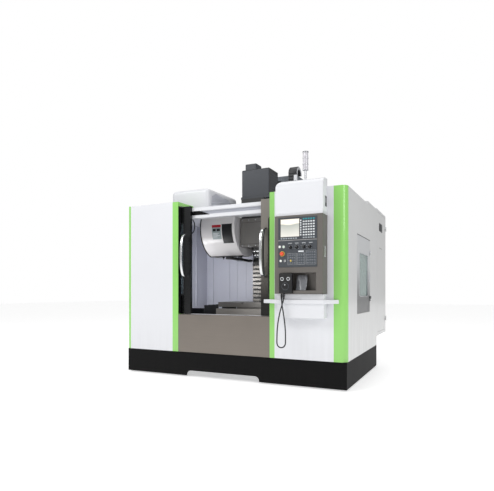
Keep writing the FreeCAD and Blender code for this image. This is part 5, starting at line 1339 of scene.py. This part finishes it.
def cabinet_details():
    """Cabinet leaf: a vent of eight slats on a dark back, and a seam below it."""
    face, front, rear, slats = SIDE_FACE, 0.725, 0.943, 8
    z = 0.012 * np.arange(slats) + 1.724
    vent = blocks(at(face - 0.001, front + 0.006, z), at(face + 0.006, rear - 0.006, z + 0.005))
    put("cabinet_vent_slats", vent, "motor_slate", "cabinet_door", bevel=0.001)
    back = blocks((face - 0.0015, front, 1.719), (face + 0.0012, rear, 1.825))
    put("cabinet_vent_back", back, "deep_black", "cabinet_door")
    seam = blocks((face - 0.001, 0.735, 1.497), (face + 0.0006, 0.935, 1.503))
    put("cabinet_seam", seam, "deep_black", "cabinet_door")


def fan_grille():
    """Two round fan guards on the cabinet's left flank: concentric rings and two crossed bars each."""
    face, level = float(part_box("electrical_cabinet")[0][0]), 1.70
    bead = np.array([[1, 0], [0, 1], [-1, 0], [0, -1]]) * 0.0020
    shapes, wells = [], []
    for y in (0.82, 1.05):
        for radius in (0.018, 0.034, 0.050, 0.066):
            ring = circle(radius, 40)
            path = at(face - 0.0035, y + ring[:, 0], level + ring[:, 1])
            shapes.append(carried(bead, path, (1, 0, 0), ring=True))
        for wide, high in ((0.068, 0.002), (0.002, 0.068)):
            shapes.append(blocks((face - 0.0055, y - wide, level - high),
                                 (face - 0.0025, y + wide, level + high)))
        wells.append(turned([(0.071, -0.001), (0.071, 0.0006), (0.069, 0.0008)], (face, y, level), "-x", 40))
    put("fan_guards", together(*shapes), "way_steel", "machine")
    put("fan_wells", together(*wells), "deep_black", "machine")


def tower_rings():
    """Rings between the lenses of the signal tower and its cap."""
    low, high = corners("signal_lenses")
    centre = ((low[0] + high[0]) / 2, (low[1] + high[1]) / 2, 0)
    inner, outer, half = 0.0260, 0.0310, 0.002
    ring = turned([(inner, -half), (outer, -half), (outer, half), (inner, half)], centre, "z", 40)
    spots = [(0, 0, z) for z in (2.176, 2.235, 2.295, 2.354)]
    put("tower_rings", copies(ring, spots), "pole_silver", "machine")
    cap = turned([(0.0305, 2.355), (0.0305, 2.362), (0.027, 2.3645), (0.010, 2.3652)], centre, "z", 40)
    put("tower_cap", cap, "motor_slate", "machine")


def casting_bolts():
    """Four hex bolts with washers on the top of the base casting."""
    bolt = together(turned([(0.016, 0.0), (0.016, 0.002), (0.013, 0.0025)], ORIGIN, "z", 20),
                    turned([(0.0115, 0.0022), (0.0115, 0.010), (0.009, 0.0115)], ORIGIN, "z", 6))
    spots = [(x, y, 0.500) for y in (-0.55, -0.35) for x in (-0.400, 0.322)]
    put("bed_bolts", copies(bolt, spots), "way_steel", "machine")


def side_latch():
    """Latch of the side door, a rounded grip near its rear edge, and the drip edge above the door."""
    face = SIDE_FACE - 0.0005
    steps = ((0.0, 1.0), (0.003, 1.0), (0.010, 0.72), (0.013, 0.62), (0.0132, 0.4))
    latch = raised_plate(rounded(0.030, 0.120, 0.012, 5), (face, 0.045, 1.10), steps)
    put("side_door_latch", latch, "chain_grey", "side_door")
    edge = blocks((face, -0.588, 1.5245), (SIDE_FACE + 0.003, 0.082, 1.5300))
    put("side_door_drip_edge", edge, "deep_black", "machine")


left_bay_dress()
header_dress()
wall_folds()
panel_screws()
apron_hem()
cabinet_details()
fan_grille()
tower_rings()
casting_bolts()
side_latch()
